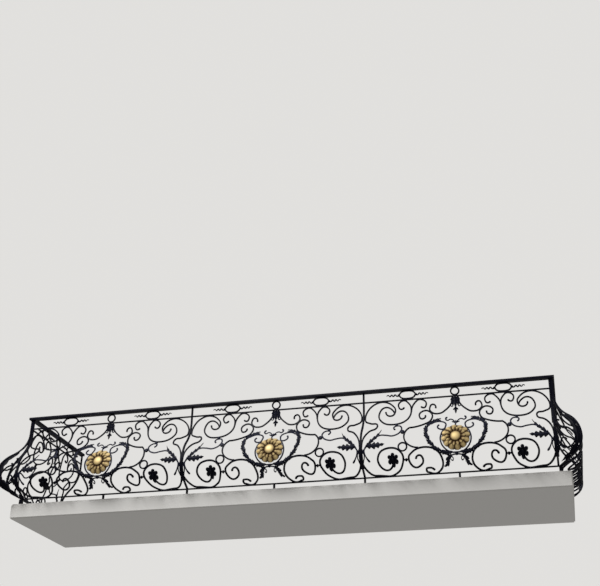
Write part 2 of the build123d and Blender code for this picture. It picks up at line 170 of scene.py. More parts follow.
def arc_joint(start, start_way, end, end_way):
    """Where two tangent arcs between two directed points meet, and the direction there."""
    chord, both = end - start, start_way + end_way
    bend = 2 * (1 - start_way.dot(end_way))
    if bend < SAME_WAY:
        reach = chord.dot(chord) / (2 * chord.dot(both))
    else:
        reach = (math.sqrt(chord.dot(both) ** 2 + bend * chord.dot(chord)) - chord.dot(both)) / bend
    low, high = start + reach * start_way, end - reach * end_way
    return (low + high) / 2, unit(high - low)


def arc_points(start, way, end):
    """Points along the arc that leaves start in one direction and ends at end."""
    chord = end - start
    turn = 2 * math.atan2(way[0] * chord[1] - way[1] * chord[0], way.dot(chord))
    bent = abs(turn) > STRAIGHT_TURN
    length = np.linalg.norm(chord) * (turn / 2 / math.sin(turn / 2) if bent else 1)
    steps = max(1, math.ceil(abs(turn) / ARC_STEP), math.ceil(length / LONGEST_STEP))
    points = []
    for step in range(1, steps + 1):
        part = turn * step / steps
        reach = math.sin(part / 2) / math.sin(turn / 2) if bent else step / steps
        lean = (part - turn) / 2
        turned = (
            chord[0] * math.cos(lean) - chord[1] * math.sin(lean),
            chord[0] * math.sin(lean) + chord[1] * math.cos(lean),
        )
        points.append(start + reach * np.array(turned))
    return points


def bent_line(points):
    """A smooth line of tangent arcs through the points, in small steps."""
    points = [np.asarray(point, float) for point in points]
    ways = tangents_along(points)
    line = [points[0]]
    for i in range(len(points) - 1):
        joint, way = arc_joint(points[i], ways[i], points[i + 1], ways[i + 1])
        line += arc_points(points[i], ways[i], joint)
        line += arc_points(joint, way, points[i + 1])
    return np.array(line)


quarter_turn = arc_points(np.zeros(2), np.array([1.0, 0.0]), np.array([0.1, 0.1]))
print("points on a quarter turn of 0.1 m radius:", len(quarter_turn))

# %% [markdown]
# ## Half a panel
# The front bays use the whole drawing. The returns are narrower, so they leave out the drawing's
# inner third and squeeze the rest a little. A small class holds that change of width, so that
# every later function can say where a thing stands in the drawing and forget which panel it is
# for.

# %% The half panel
DRAWN_HALF = 941.0
DRAWN_LOW = 60.0
DRAWN_HIGH = 848.0
RETURN_AXIS = 300.0


class Panel:
    """Half a panel, from its axis to its post, that takes points of the drawing."""

    def __init__(self, half_width, drawn_half, drawn_axis=0.0):
        self.half_width = half_width
        self.drawn_axis = drawn_axis
        self.stretch = half_width / (drawn_half - drawn_axis)
        self.rise = (panel_high - panel_low) / (DRAWN_HIGH - DRAWN_LOW)

    def spot(self, u, v):
        """The flat place, in metres, of a point of the drawing."""
        return np.array([(u - self.drawn_axis) * self.stretch, panel_low + (v - DRAWN_LOW) * self.rise])

    def spots(self, points):
        """The same for a list of points."""
        return [self.spot(u, v) for u, v in points]


bay_panel = Panel((bay_width - post_width) / 2, DRAWN_HALF)
first_stile = corner_post_width / 2 + post_width / 2
last_stile = wall_y - post_width / 2
return_middle = (first_stile + last_stile) / 2
return_half = (last_stile - first_stile - post_width) / 2
outer_panel = Panel(return_half, DRAWN_HALF, RETURN_AXIS)
whole_panel = Panel(return_half, DRAWN_HALF - RETURN_AXIS)
print("half bay", bay_panel.half_width, "half return", round(return_half, 3))

# %% [markdown]
# ## Collecting parts of a piece
# A panel's scrolls are dozens of bars that are one welded piece on the real railing. Making an
# object for each bar and joining them would be slow, so a small collector keeps their vertices
# and faces in one list. It also keeps a number for each vertex, called relief, which is 0 in a
# hollow and 1 on a high spot. The finishes use it later to paint shade into the hollows, and to
# dull them as dirt would.

# %% The collector
class Work:
    """The vertices, faces and relief of one piece, before it becomes an object."""

    def __init__(self, *others):
        self.points = []
        self.faces = []
        self.relief = []
        self.count = 0
        for other in others:
            self.take(other)

    def add(self, points, faces, relief=1.0):
        """Adds vertices and faces, with one relief for all or one for each vertex."""
        points = np.asarray(points, float).reshape(-1, 3)
        self.points.append(points)
        self.faces += [[corner + self.count for corner in face] for face in faces]
        self.relief.append(np.broadcast_to(np.asarray(relief, float).reshape(-1), len(points)))
        self.count += len(points)

    def take(self, other):
        """Adds what another collector holds."""
        self.add(np.concatenate(other.points), other.faces, np.concatenate(other.relief))

    def changed(self, change):
        """A copy whose places went through a function."""
        new = Work()
        new.add(change(np.concatenate(self.points)), self.faces, np.concatenate(self.relief))
        return new


def mirrored(points):
    """Swaps left and right."""
    return points * (-1, 1, 1)


def along(x):
    """A function that moves places along the front."""
    return lambda points: points + (x, 0, 0)


def on_return(points):
    """Turns a shape made as a front into the right return, from corner to wall."""
    return np.stack([corner_x - points[:, 1], points[:, 0], points[:, 2]], axis=1)


def both_halves(work):
    """Half a panel together with its mirror image."""
    return Work(work, work.changed(mirrored))


SHARP_ANGLE = math.radians(32)
made_pieces = []


def make_piece(name, work, nodes):
    """Turns collected work into a clean closed mesh that stands for the named solid parts."""
    mesh = bpy.data.meshes.new(name)
    mesh.from_pydata(np.concatenate(work.points).tolist(), [], work.faces)
    relief = mesh.attributes.new("relief", "FLOAT", "POINT")
    relief.data.foreach_set("value", np.concatenate(work.relief).astype(np.float32))
    shape = bmesh.new()
    shape.from_mesh(mesh)
    bmesh.ops.recalc_face_normals(shape, faces=shape.faces)
    for face in shape.faces:
        face.smooth = True
    shape.to_mesh(mesh)
    shape.free()
    mesh.set_sharp_from_angle(angle=SHARP_ANGLE)
    piece = bpy.data.objects.new(name, mesh)
    bpy.context.scene.collection.objects.link(piece)
    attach(piece, "root")
    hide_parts(*nodes)
    made_pieces.append(piece)


print("edges sharper than", round(math.degrees(SHARP_ANGLE)), "degrees stay sharp")

# %% [markdown]
# ## Forged bars
# The bars are iron about 15 mm wide and deep, and wider at the foot, with edges that the hammer
# and many coats of paint have rounded. A curve with a bevel profile could make them, but on the
# belly a curve object decides by itself how the profile turns, and the bars would lean. Here the
# section is set at each step: its depth points straight off the belly and its width lies on it.
# A free end is spread a little and rounded over, as a smith upsets the tip before bending.

# %% Bars laid on the belly
BAR_WIDTH = 0.0155
FOOT_BAR_WIDTH = 0.019
BAR_DEPTH = 0.015
THIN_DEPTH = 0.010
ON_THIN_BAR = 0.003
EDGE_SHARE = 0.2
SHORTEST_STEP = 3e-4
DEPTH_SPREAD = 0.3
TIP_STATIONS = (0.0012, 0.0035, 0.010, 0.024)
TIP_SWELL = [(0.0, 0.5), (0.0012, 0.85), (0.0035, 1.12), (0.010, 1.18), (0.024, 1.0)]


def bar_section(width, depth):
    """Corners of a rectangle with its edges taken off."""
    edge = EDGE_SHARE * min(width, depth)
    w, d = width / 2, depth / 2
    quarter = [(w, d - edge), (w - edge, d)]
    right = [(w, -d + edge), *quarter]
    left = [(-x, y) for x, y in reversed(quarter)]
    return np.array([*right, *left, (-w, -d + edge), (-w + edge, -d), (w - edge, -d)])


def lengths_along(line):
    """How far along a line each of its points lies."""
    return np.concatenate([[0], np.cumsum(np.linalg.norm(np.diff(line, axis=0), axis=1))])


def with_stations(line, extra):
    """The same line with more steps at the given distances from its start."""
    reached = lengths_along(line)
    wanted = np.unique(np.concatenate([reached, np.clip(extra, 0, reached[-1])]).round(6))
    wanted = wanted[np.concatenate([[True], np.diff(wanted) > SHORTEST_STEP])]
    return np.stack([np.interp(wanted, reached, line[:, i]) for i in (0, 1)], axis=1)


def skin(rings, closed_line=False):
    """Faces over a row of section rings, as vertex numbers, with both ends closed."""
    count, corners = rings.shape[:2]
    faces = []
    for i in range(count if closed_line else count - 1):
        here, there = i * corners, (i + 1) % count * corners
        for k in range(corners):
            n = (k + 1) % corners
            faces.append((here + k, here + n, there + n, there + k))
    if not closed_line:
        faces += [tuple(range(corners)), tuple(range((count - 1) * corners, count * corners))]
    return faces


def bar(
    work, line, width=BAR_WIDTH, depth=BAR_DEPTH,
    free=(False, False), swell=TIP_SWELL, lift=0.0, taper=None,
):
    """Adds a bar along a flat line of places, laid on the belly."""
    total = lengths_along(line)[-1]
    tips = [t for t in TIP_STATIONS if free[0]] + [total - t for t in TIP_STATIONS if free[1]]
    line = with_stations(line, tips)
    reached = lengths_along(line)
    total = reached[-1]
    scale = np.ones(len(line))
    for end, distance in ((0, reached), (1, total - reached)):
        if free[end]:
            scale *= np.interp(distance, *zip(*swell))
    if taper is not None:
        scale *= np.interp(reached / total, *zip(*taper))
    centre = lay(line[:, 0], line[:, 1], np.full(len(line), lift))
    way = np.gradient(centre, axis=0)
    way /= np.linalg.norm(way, axis=1, keepdims=True)
    off = outward(line[:, 1])
    side = np.cross(way, off)
    side /= np.linalg.norm(side, axis=1, keepdims=True)
    off = np.cross(side, way)
    section = bar_section(width, depth)
    deep = np.where(scale < 1, scale, 1 + (scale - 1) * DEPTH_SPREAD)
    rings = (
        centre[:, None]
        + side[:, None] * (section[None, :, 0:1] * scale[:, None, None])
        + off[:, None] * (section[None, :, 1:2] * deep[:, None, None])
    )
    work.add(rings, skin(rings))


print("corners of a bar's section:", len(bar_section(BAR_WIDTH, BAR_DEPTH)))

# %% [markdown]
# ## Leaves that are cut, veined and cupped
# The leaves are hammered from sheet: a rib stands up along the middle, a vein runs out to each
# tooth, and the edge drops back. A flat shape with a bump map would look right from the front
# only, so each leaf is a thin closed shell. Its upper skin follows a height formula over the
# leaf, drawn flat, and then the whole shell is laid on the belly like the bars.

# %% Leaves
LEAF_THICKNESS = 0.004
LEAF_ACROSS = 11
STEPS_A_LOBE = 10
LEAST_WIDTH = 0.03
RIB_WIDTH = 0.16
RIB_FALL = 0.6
VEIN_PLACE = 0.85
VEIN_RISE = 0.35
EDGE_DROP = 0.55
UNDER_DROP = 0.6
FLAT_RELIEF = 0.45


def notched(phase, cut):
    """Edge of a leaf whose teeth point to its tip."""
    return 1 - cut * (1 - phase) ** 1.3


def lobed(phase, cut):
    """Edge of a leaf with round lobes and narrow notches."""
    return 1 - cut * np.abs(np.cos(np.pi * phase)) ** 2.5


def leaf(
    work, spine, half_width, teeth,
    cut=0.45, slant=0.55, rise=0.006, base=0.30, lift=0.0, fine=0.75, edge=notched,
):
    """Adds a leaf along a flat line, widest near its foot and pointed at its tip."""
    steps = teeth * STEPS_A_LOBE
    reached = lengths_along(spine)
    share = np.linspace(0, 1, steps + 1)
    places = np.stack([np.interp(share * reached[-1], reached, spine[:, i]) for i in (0, 1)], axis=1)
    way = np.gradient(places, axis=0)
    way /= np.linalg.norm(way, axis=1, keepdims=True)
    side = np.stack([-way[:, 1], way[:, 0]], axis=1)
    swelling = np.sin(np.pi * np.clip(base + (1 - base) * share, 0, 1)) ** fine
    phase = (share * teeth) % 1.0
    width = half_width * np.clip(swelling * edge(phase, cut), LEAST_WIDTH, None)
    across = np.linspace(-1, 1, LEAF_ACROSS)
    aside = across[None, :, None] * width[:, None, None]
    forward = np.abs(aside) * slant * (1 - share[:, None, None])
    flat = places[:, None] + side[:, None] * aside + way[:, None] * forward
    rib = np.exp(-((across / RIB_WIDTH) ** 2))[None, :] * rise * (1 - RIB_FALL * share[:, None])
    vein_wave = np.cos(2 * np.pi * (phase - VEIN_PLACE))
    vein = vein_wave[:, None] * np.abs(across)[None, :] * rise * VEIN_RISE
    drop = -(across[None, :] ** 2) * rise * EDGE_DROP
    height = rib + vein + drop
    # relief falls where the leaf dips and its edge drops, and the finish paints shade there
    relief = np.clip(FLAT_RELIEF + height / rise * (1 - FLAT_RELIEF), 0, 1)
    top = lay(flat[..., 0], flat[..., 1], lift + height + LEAF_THICKNESS / 2)
    low = lay(flat[..., 0], flat[..., 1], lift + drop * UNDER_DROP - LEAF_THICKNESS / 2)
    shell(work, top, low, relief)


def shell(work, top, low, relief):
    """Adds a closed shell between an upper and a lower grid of points."""
    rows, columns = top.shape[:2]
    size = rows * columns
    faces = []
    for i in range(rows - 1):
        for k in range(columns - 1):
            a, b = i * columns + k, i * columns + k + 1
            c, d = b + columns, a + columns
            faces += [(a, b, c, d), (size + d, size + c, size + b, size + a)]
    rim = list(range(columns)) + [i * columns + columns - 1 for i in range(1, rows)]
    rim += [size - 1 - k for k in range(1, columns)] + [i * columns for i in range(rows - 2, 0, -1)]
    for a, b in zip(rim, rim[1:] + rim[:1]):
        faces.append((b, a, size + a, size + b))
    both = np.concatenate([top.reshape(-1, 3), low.reshape(-1, 3)])
    # the lower skin gets relief 0, so the finish paints it fully in shade
    work.add(both, faces, np.concatenate([relief.reshape(-1), np.zeros(size)]))


print("a leaf has", LEAF_ACROSS, "points across and", STEPS_A_LOBE, "steps along each lobe")

# %% [markdown]
# ## Bosses and rosettes
# Where bars cross, a small domed boss is riveted on, and each low scroll beside a post closes
# on a rosette of six round petals. Both are turned shapes: a row of rings about a centre. A
# formula for the edge and the height at each angle makes the petals, so one function serves for
# the boss, the rosette and the flower's eye.

# %% Round work
BOSS_STEPS = 20
BOSS_RIM = 0.003
BOSS_BACK = -0.008


def round_work(work, centre, radii, heights, steps, back, edge=None, crease=None, lift=0.0):
    """Adds rings about a centre, with an outline and creases that follow the angle."""
    angles = np.linspace(0, 2 * np.pi, steps, endpoint=False)
    outline = np.ones(steps) if edge is None else edge(angles)
    valley = np.zeros(steps) if crease is None else crease(angles)
    radii, heights = np.asarray(radii, float), np.asarray(heights, float)
    share = radii / radii.max()
    reach = radii[:, None] * (1 + (outline - 1)[None, :] * share[:, None] ** 2)
    height = heights[:, None] - valley[None, :] * np.sin(np.pi * np.clip(share, 0, 1))[:, None]
    x = centre[0] + reach * np.cos(angles)
    z = centre[1] + reach * np.sin(angles)
    rings = lay(x, z, lift + height)
    last = lay(x[-1:], z[-1:], np.full((1, steps), lift + back))
    rings = np.concatenate([rings, last])
    # relief follows the height and the back ring gets 0, so the finish paints shade low down and behind
    spread = max(heights.max() - heights.min(), 1e-6)
    relief = np.clip((height - heights.min()) / spread, 0, 1)
    relief = np.concatenate([relief, np.zeros((1, steps))])
    work.add(rings, skin(rings), relief)


def boss(work, centre, radius, rise, lift=0.0):
    """Adds a domed boss."""
    turn = np.linspace(0.12, 1, 6) * math.pi / 2
    heights = rise * np.cos(turn) + BOSS_RIM
    round_work(work, centre, radius * np.sin(turn), heights, BOSS_STEPS, BOSS_BACK, lift=lift)


ROSETTE_RADIUS = 0.058
ROSETTE_PETALS = 6
ROSETTE_STEPS = 72
ROSETTE_BACK = -0.005
ROSETTE_RINGS = (0.24, 0.32, 0.45, 0.6, 0.75, 0.88, 0.96, 1.0)
ROSETTE_HEIGHTS = (0.002, 0.005, 0.009, 0.011, 0.011, 0.009, 0.006, 0.003)
NOTCH_REACH = 0.56
SEAM_DEPTH = 0.006


def petal_wave(angles):
    """A wave that is 1 in the middle of each petal of a rosette and 0 between two petals."""
    return np.abs(np.sin(ROSETTE_PETALS * angles / 2))


def rosette_edge(angles):
    """The outline of the rosette, as a share of its radius."""
    return NOTCH_REACH + (1 - NOTCH_REACH) * petal_wave(angles) ** 0.6


def rosette_seams(angles):
    """How deep the crease between two petals is."""
    return SEAM_DEPTH * (1 - petal_wave(angles)) ** 1.5


def rosette(work, centre):
    """Adds a rosette of round petals with a boss."""
    radii = ROSETTE_RADIUS * np.array(ROSETTE_RINGS)
    heights = ROSETTE_HEIGHTS
    round_work(work, centre, radii, heights, ROSETTE_STEPS, ROSETTE_BACK, rosette_edge, rosette_seams)
    boss(work, centre, ROSETTE_RADIUS * 0.27, rise=0.011, lift=0.002)


print("the rosette has", ROSETTE_PETALS, "petals and is", 2 * ROSETTE_RADIUS, "m across")

# %% [markdown]
# ## The upper scrolls
# Two large scrolls fill the top of each half bay: one curls under the rail on both sides of a
# deep loop, and one leaves the post, rises and curls back to meet it. A small scroll and a swag
# lead in to the leaf that hangs at the bay's axis. The points are the drawing's own, in
# thousandths of a metre from the bay's axis and from the floor of the balcony.

# %% Points of the upper scrolls
SWAG = [(205, 735), (228, 781), (265, 738), (235, 683), (170, 670), (90, 718), (42, 778)]
INNER_TOP_SCROLL = [(352, 768), (325, 752), (298, 788), (352, 845), (430, 795), (452, 720)]
GREAT_SCROLL = [
    (527, 773), (555, 752), (585, 785), (535, 845), (470, 800), (455, 715), (505, 612),
    (620, 566), (740, 600), (790, 700), (720, 785), (645, 745), (628, 712),
]
SHOULDER_SCROLL = [
    (718, 735), (705, 697), (662, 682), (618, 740), (660, 812), (740, 845), (850, 817),
    (918, 740), (933, 680), (925, 635), (875, 604), (800, 578), (800, 535), (875, 478),
    (928, 390), (940, 310),
]

# %% [markdown]
# ## The lower scrolls
# Below, an S leaves the waist of the panel and rolls up at the foot, and a wide scroll springs
# from the post and closes on the rosette. A short tie and a plain ring join them.

# %% Points of the lower scrolls
WAIST_SCROLL = [
    (310, 660), (335, 617), (372, 660), (315, 717), (245, 675), (252, 590), (330, 530),
    (462, 499),
]
WAIST_RETURN = [(457, 502), (508, 430), (500, 335), (440, 278), (372, 262)]
INNER_FOOT_SCROLL = [
    (238, 80), (280, 97), (320, 82), (285, 65), (200, 67), (147, 115), (157, 178),
    (215, 237), (320, 261), (420, 232), (475, 165), (445, 112), (385, 108), (335, 155),
    (367, 190), (404, 160),
]
OUTER_FOOT_SCROLL = [
    (941, 235), (938, 140), (880, 80), (780, 65), (640, 67), (560, 110), (528, 180),
    (570, 250), (670, 275), (765, 225), (778, 140), (710, 97), (636, 135),
]
TIE = [(470, 160), (500, 160), (532, 160)]
RING_SPOT = (528, 280)
RING_RADIUS = 0.050
RING_STEPS = 40
ROSETTE_SPOT = (632, 170)
TIE_BOSS_RADIUS = 0.012
BOTH, START, END, NONE = (True, True), (True, False), (False, True), (False, False)


def ring(work, centre, radius):
    """Adds a closed ring of bar on the belly, with the given radius at the bar's middle."""
    angles = np.linspace(0, 2 * np.pi, RING_STEPS, endpoint=False)
    x, z = centre[0] + radius * np.cos(angles), centre[1] + radius * np.sin(angles)
    middle = lay(x, z, np.zeros_like(x))
    off = outward(z)
    way = np.roll(middle, -1, axis=0) - np.roll(middle, 1, axis=0)
    way /= np.linalg.norm(way, axis=1, keepdims=True)
    side = np.cross(way, off)
    section = bar_section(BAR_WIDTH, BAR_DEPTH)
    rings = middle[:, None] + side[:, None] * section[None, :, 0:1] + off[:, None] * section[None, :, 1:2]
    work.add(rings, skin(rings, closed_line=True))


def scrolls(panel, bars, width=BAR_WIDTH):
    """Bars through the drawing's points, each with what it says of free ends."""
    work = Work()
    for points, free in bars:
        bar(work, bent_line(panel.spots(points)), width=width, free=free)
    return work


def outer_foot(panel, work):
    """Adds what stands beside a post at the foot of any panel."""
    bar(work, bent_line(panel.spots(OUTER_FOOT_SCROLL)), width=FOOT_BAR_WIDTH, free=END)
    bar(work, bent_line(panel.spots(TIE)))
    boss(work, panel.spot(*TIE[1]), TIE_BOSS_RADIUS, rise=0.006, lift=BAR_DEPTH / 2 - BOSS_RIM)
    ring(work, panel.spot(*RING_SPOT), RING_RADIUS - BAR_WIDTH / 2)
    rosette(work, panel.spot(*ROSETTE_SPOT))


bay_upper = scrolls(
    bay_panel,
    [(SWAG, START), (INNER_TOP_SCROLL, START), (GREAT_SCROLL, BOTH), (SHOULDER_SCROLL, START)],
)
bay_lower = scrolls(bay_panel, [(WAIST_SCROLL, START), (WAIST_RETURN, NONE)])
bay_lower.take(scrolls(bay_panel, [(INNER_FOOT_SCROLL, BOTH)], FOOT_BAR_WIDTH))
outer_foot(bay_panel, bay_lower)
print("faces in half the upper and lower scrolls:", len(bay_upper.faces), len(bay_lower.faces))

# %% [markdown]
# ## Leaf branches
# A branch grows from each post. Its stem carries a long thin leaf with small teeth above and a
# broad leaf with deep lobes below, and ends in a curl. The same leaf function makes both, with
# other numbers of teeth and other depths of cut.

# %% The branches
BRANCH_STEM = [
    (603, 484), (622, 515), (580, 541), (541, 500), (555, 447), (620, 409), (705, 421),
    (752, 425), (830, 372), (905, 290), (938, 235),
]
BRANCH_TAIL = [(893, 318), (914, 265), (900, 205), (864, 158)]
UPPER_LEAF = [(905, 290), (842, 366), (794, 412), (745, 492)]
LOWER_LEAF = [(900, 318), (830, 312), (770, 315), (708, 322)]
BRANCH_BOSSES = [((528, 446), 0.021), ((600, 555), 0.015)]
CLUB_END = [(0.0, 0.45), (0.0015, 0.8), (0.005, 1.2), (0.014, 1.45), (0.040, 1.1), (0.075, 0.9)]
STEM_WIDTH = 0.015
TAIL_WIDTH = 0.015
TAIL_TAPER = [(0, 0.7), (0.6, 0.85), (1, 1.0)]


def leaf_branch(panel):
    """The branch of half a panel: stem, tail, two leaves and the bosses that hold it."""
    work = Work()
    bar(work, bent_line(panel.spots(BRANCH_STEM)), width=STEM_WIDTH, depth=THIN_DEPTH, free=START)
    tail = bent_line(panel.spots(BRANCH_TAIL))
    bar(work, tail, width=TAIL_WIDTH, depth=THIN_DEPTH, free=END, swell=CLUB_END, taper=TAIL_TAPER)
    upper, lower = bent_line(panel.spots(UPPER_LEAF)), bent_line(panel.spots(LOWER_LEAF))
    leaf(work, upper, 0.023, 5, cut=0.55, slant=0.9, base=0.2, lift=ON_THIN_BAR, fine=1.1)
    leaf(work, lower, 0.040, 4, cut=0.5, slant=0.7, base=0.2, lift=ON_THIN_BAR, fine=0.8, edge=lobed)
    for place, radius in BRANCH_BOSSES:
        boss(work, panel.spot(*place), radius, rise=0.007, lift=ON_THIN_BAR)
    return work


bay_branch = leaf_branch(bay_panel)
print("faces in a branch:", len(bay_branch.faces))

# %% [markdown]
# ## The lyre and its garland
# Two bars bow out round the flower and meet in a lyre. Overlapping leaves follow them outside as
# a garland, ribbons with thick bud ends rise from the flower, and toothed legs run down to the
# foot scrolls. Each leaf of the garland starts under the last one, a little higher, the way
# sheet leaves are riveted on.

# %% The lyre
LYRE_BAR = [
    (0, 196), (75, 208), (122, 248), (151, 330), (135, 405), (103, 462), (100, 525),
    (160, 562), (245, 530),
]
LYRE_CURL = [(108, 452), (150, 448), (178, 482), (163, 510)]
LYRE_LEG = [(0, 178), (48, 173), (84, 150), (100, 118), (138, 100)]
GARLAND = [
    (60, 203), (130, 213), (185, 238), (228, 280), (262, 335), (282, 390), (290, 440),
    (280, 500), (250, 555), (205, 590), (150, 602),
]
TENDRIL = [(4, 478), (15, 552), (45, 582), (92, 574), (101, 598), (84, 614)]
LYRE_BOSS = (0, 186)
LEG_CURL = [(62, 168), (46, 158), (40, 142), (50, 133), (58, 142)]
UNDER_LEAF = [(34, 200), (66, 196), (98, 186), (128, 190)]
CENTRE_STEM = [(0, 470), (0, 520), (0, 562)]
CENTRE_LEAF = [(4, 520), (18, 540), (40, 546)]
GARLAND_LEAVES = 7
GARLAND_LEAF_SHARE = 0.18
GARLAND_TIP_OUT = 0.026
GARLAND_STEM_DEPTH = 0.008
OVERLAP_LIFT = 0.0015
LEG_WIDTH = 0.014
RIBBON_WIDTH = 0.013
THIN_WIDTH = 0.010
LEG_CURL_WIDTH = 0.009
SPINE_STEPS = 24


def part_of(line, start, end):
    """The stretch of a line between two shares of its length."""
    reached = lengths_along(line)
    wanted = np.linspace(start, end, SPINE_STEPS) * reached[-1]
    return np.stack([np.interp(wanted, reached, line[:, i]) for i in (0, 1)], axis=1)


def leaning_out(line, reach):
    """The same stretch, leaning away from the panel's axis towards its end."""
    way = np.gradient(line, axis=0)
    way /= np.linalg.norm(way, axis=1, keepdims=True)
    right = np.stack([way[:, 1], -way[:, 0]], axis=1)
    return line + right * (reach * np.linspace(0, 1, len(line)) ** 2)[:, None]


def garland(work, panel):
    """Adds the overlapping leaves that follow a half of the lyre."""
    stem = bent_line(panel.spots(GARLAND))
    bar(work, stem, width=THIN_WIDTH, depth=GARLAND_STEM_DEPTH)
    for index in range(GARLAND_LEAVES):
        start = index * (1 - GARLAND_LEAF_SHARE) / (GARLAND_LEAVES - 1)
        lean = GARLAND_TIP_OUT if index < GARLAND_LEAVES - 1 else -GARLAND_TIP_OUT
        spine = leaning_out(part_of(stem, start, start + GARLAND_LEAF_SHARE), lean)
        lift = OVERLAP_LIFT * (index % 2)
        leaf(work, spine, 0.027, 3, slant=0.8, base=0.12, lift=lift, fine=1.0)


def lyre_half(panel):
    """Everything of the lyre on one side of the panel's axis."""
    work = Work()
    bar(work, bent_line(panel.spots(LYRE_BAR)), width=STEM_WIDTH, depth=THIN_DEPTH)
    bar(work, bent_line(panel.spots(LYRE_CURL)), depth=THIN_DEPTH, free=END)
    leg = bent_line(panel.spots(LYRE_LEG))
    bar(work, leg, width=LEG_WIDTH, depth=THIN_DEPTH)
    leaf(work, part_of(leg, 0.25, 1.0), 0.025, 4, slant=0.9, base=0.2, lift=ON_THIN_BAR, fine=0.8)
    bar(work, bent_line(panel.spots(LEG_CURL)), width=LEG_CURL_WIDTH, depth=THIN_DEPTH, free=END)
    leaf(work, bent_line(panel.spots(UNDER_LEAF)), 0.017, 3, cut=0.3, base=0.2, lift=0.002)
    ribbon = bent_line(panel.spots(TENDRIL))
    bar(work, ribbon, width=RIBBON_WIDTH, depth=THIN_DEPTH, free=END, swell=CLUB_END)
    leaf(work, bent_line(panel.spots(CENTRE_LEAF)), 0.009, 2, cut=0.2, base=0.1)
    garland(work, panel)
    return work


def lyre(panel):
    """Both halves of the lyre, with the short stem and the boss on the axis."""
    work = both_halves(lyre_half(panel))
    bar(work, bent_line(panel.spots(CENTRE_STEM)), width=THIN_WIDTH, depth=THIN_DEPTH, free=END)
    boss(work, panel.spot(*LYRE_BOSS), 0.016, rise=0.008, lift=ON_THIN_BAR)
    return work


bay_lyre = lyre(bay_panel)
print("faces in a lyre:", len(bay_lyre.faces))

# %% [markdown]
# ## The leaf under the rail
# A cast leaf hangs from the second rail at the axis of every panel: two curls close small round
# holes beside a broad middle, and three points hang below. It is drawn as a pair of halves, so
# it is laid on like the rest, with a ridge down its middle.

# %% The hanging leaf
DROP_MIDDLE = [(0, 847), (0, 815), (0, 780), (0, 735)]
DROP_SIDE = [(21, 847), (27, 820), (29, 795), (24, 750)]
DROP_CURL = [(36, 786), (50, 772), (49, 750), (34, 743), (27, 756), (36, 765)]
DROP_STEM = [(0, 760), (0, 735), (0, 712)]
DROP_TIP = [(0, 728), (0, 705), (0, 680), (0, 655)]
DROP_SIDE_TIP = [(4, 725), (15, 712), (27, 700)]
DROP_BOSS = (0, 726)
DROP_RISE = 0.007
DROP_STEM_WIDTH = 0.012


def leaf_drop_half(panel):
    """The side leaf, the curl and the side point of the hanging leaf."""
    work = Work()
    side = bent_line(panel.spots(DROP_SIDE))
    leaf(work, side, 0.023, 3, cut=0.3, base=0.35, rise=DROP_RISE, lift=ON_THIN_BAR, fine=0.6)
    bar(work, bent_line(panel.spots(DROP_CURL)), width=THIN_WIDTH, depth=THIN_DEPTH, free=END)
    leaf(work, bent_line(panel.spots(DROP_SIDE_TIP)), 0.010, 2, cut=0.15, base=0.2, lift=ON_THIN_BAR)
    return work


def leaf_drop(panel):
    """The whole hanging leaf of a panel."""
    work = both_halves(leaf_drop_half(panel))
    middle = bent_line(panel.spots(DROP_MIDDLE))
    leaf(work, middle, 0.026, 3, cut=0.25, base=0.35, rise=DROP_RISE, lift=0.006, fine=0.6)
    bar(work, bent_line(panel.spots(DROP_STEM)), width=DROP_STEM_WIDTH, depth=THIN_DEPTH)
    leaf(work, bent_line(panel.spots(DROP_TIP)), 0.013, 2, cut=0.15, base=0.2, lift=ON_THIN_BAR)
    boss(work, panel.spot(*DROP_BOSS), 0.011, rise=0.006, lift=0.004)
    return work


bay_drop = leaf_drop(bay_panel)
print("faces in a hanging leaf:", len(bay_drop.faces))

# %% [markdown]
# ## The sunflower
# The flower is a casting of two rows of petals round a smooth, slightly domed eye. Each petal is
# modelled by itself, cupped along its length and a little higher than the one beside it, because
# in a low light the gaps between petals are what makes the flower read from the street.

# %% The sunflower
FLOWER_SPOT = (0, 352)
FLOWER_RADIUS = 0.143
EYE_RADIUS = 0.055
EYE_STEPS = 40
EYE_BACK = 0.002
OUTER_PETALS = 12
INNER_PETALS = 14
OUTER_PETAL_HALF = 0.037
INNER_PETAL_HALF = 0.021
INNER_REACH = 0.71
PETAL_ROOT = 0.045
PETAL_THICKNESS = 0.003
PETAL_ROWS = 15
PETAL_COLUMNS = 11
WIDEST_AT = 0.65
PETAL_CUP = 0.006
FOLD_RISE = 0.002
FOLD_WIDTH = 0.22
GROOVE_DEPTH = 0.0008
LAPPED_RISE = 0.003


def petal(work, centre, angle, end, half_width, heights, blunt):
    """Adds one cupped petal that points away from a centre, with heights from foot to tip."""
    share = np.linspace(0, 1, PETAL_ROWS)
    across = np.linspace(-1, 1, PETAL_COLUMNS)
    swelling = np.where(share < WIDEST_AT, 0.5 + 0.5 * np.sin(share / WIDEST_AT * np.pi / 2), 1.0)
    closing = np.clip((share - WIDEST_AT) / (1 - WIDEST_AT), 0, 1)
    width = half_width * swelling * np.clip(1 - closing**blunt, 0.0004, 1) ** (1 / blunt)
    reach = PETAL_ROOT + (end - PETAL_ROOT) * share
    rise = np.interp(share, np.linspace(0, 1, len(heights)), heights)[:, None]
    full = np.sin(np.pi * share)[:, None]
    cup = (across[None, :] ** 2) * PETAL_CUP
    fold = np.exp(-((across / FOLD_WIDTH) ** 2))[None, :] * FOLD_RISE * full
    grooves = GROOVE_DEPTH * np.cos(across * 3 * np.pi)[None, :] * full
    height = rise - cup + fold + grooves
    side = width[:, None] * across[None, :]
    x = centre[0] + reach[:, None] * math.cos(angle) - side * math.sin(angle)
    z = centre[1] + reach[:, None] * math.sin(angle) + side * math.cos(angle)
    # painted shade: relief is low at a petal's root and sides, so the gaps between petals are painted dark
    relief = np.clip(0.1 + 0.9 * share[:, None] ** 0.7 - 0.8 * across[None, :] ** 2, 0, 1)
    shell(work, lay(x, z, height), lay(x, z, height - PETAL_THICKNESS), relief)


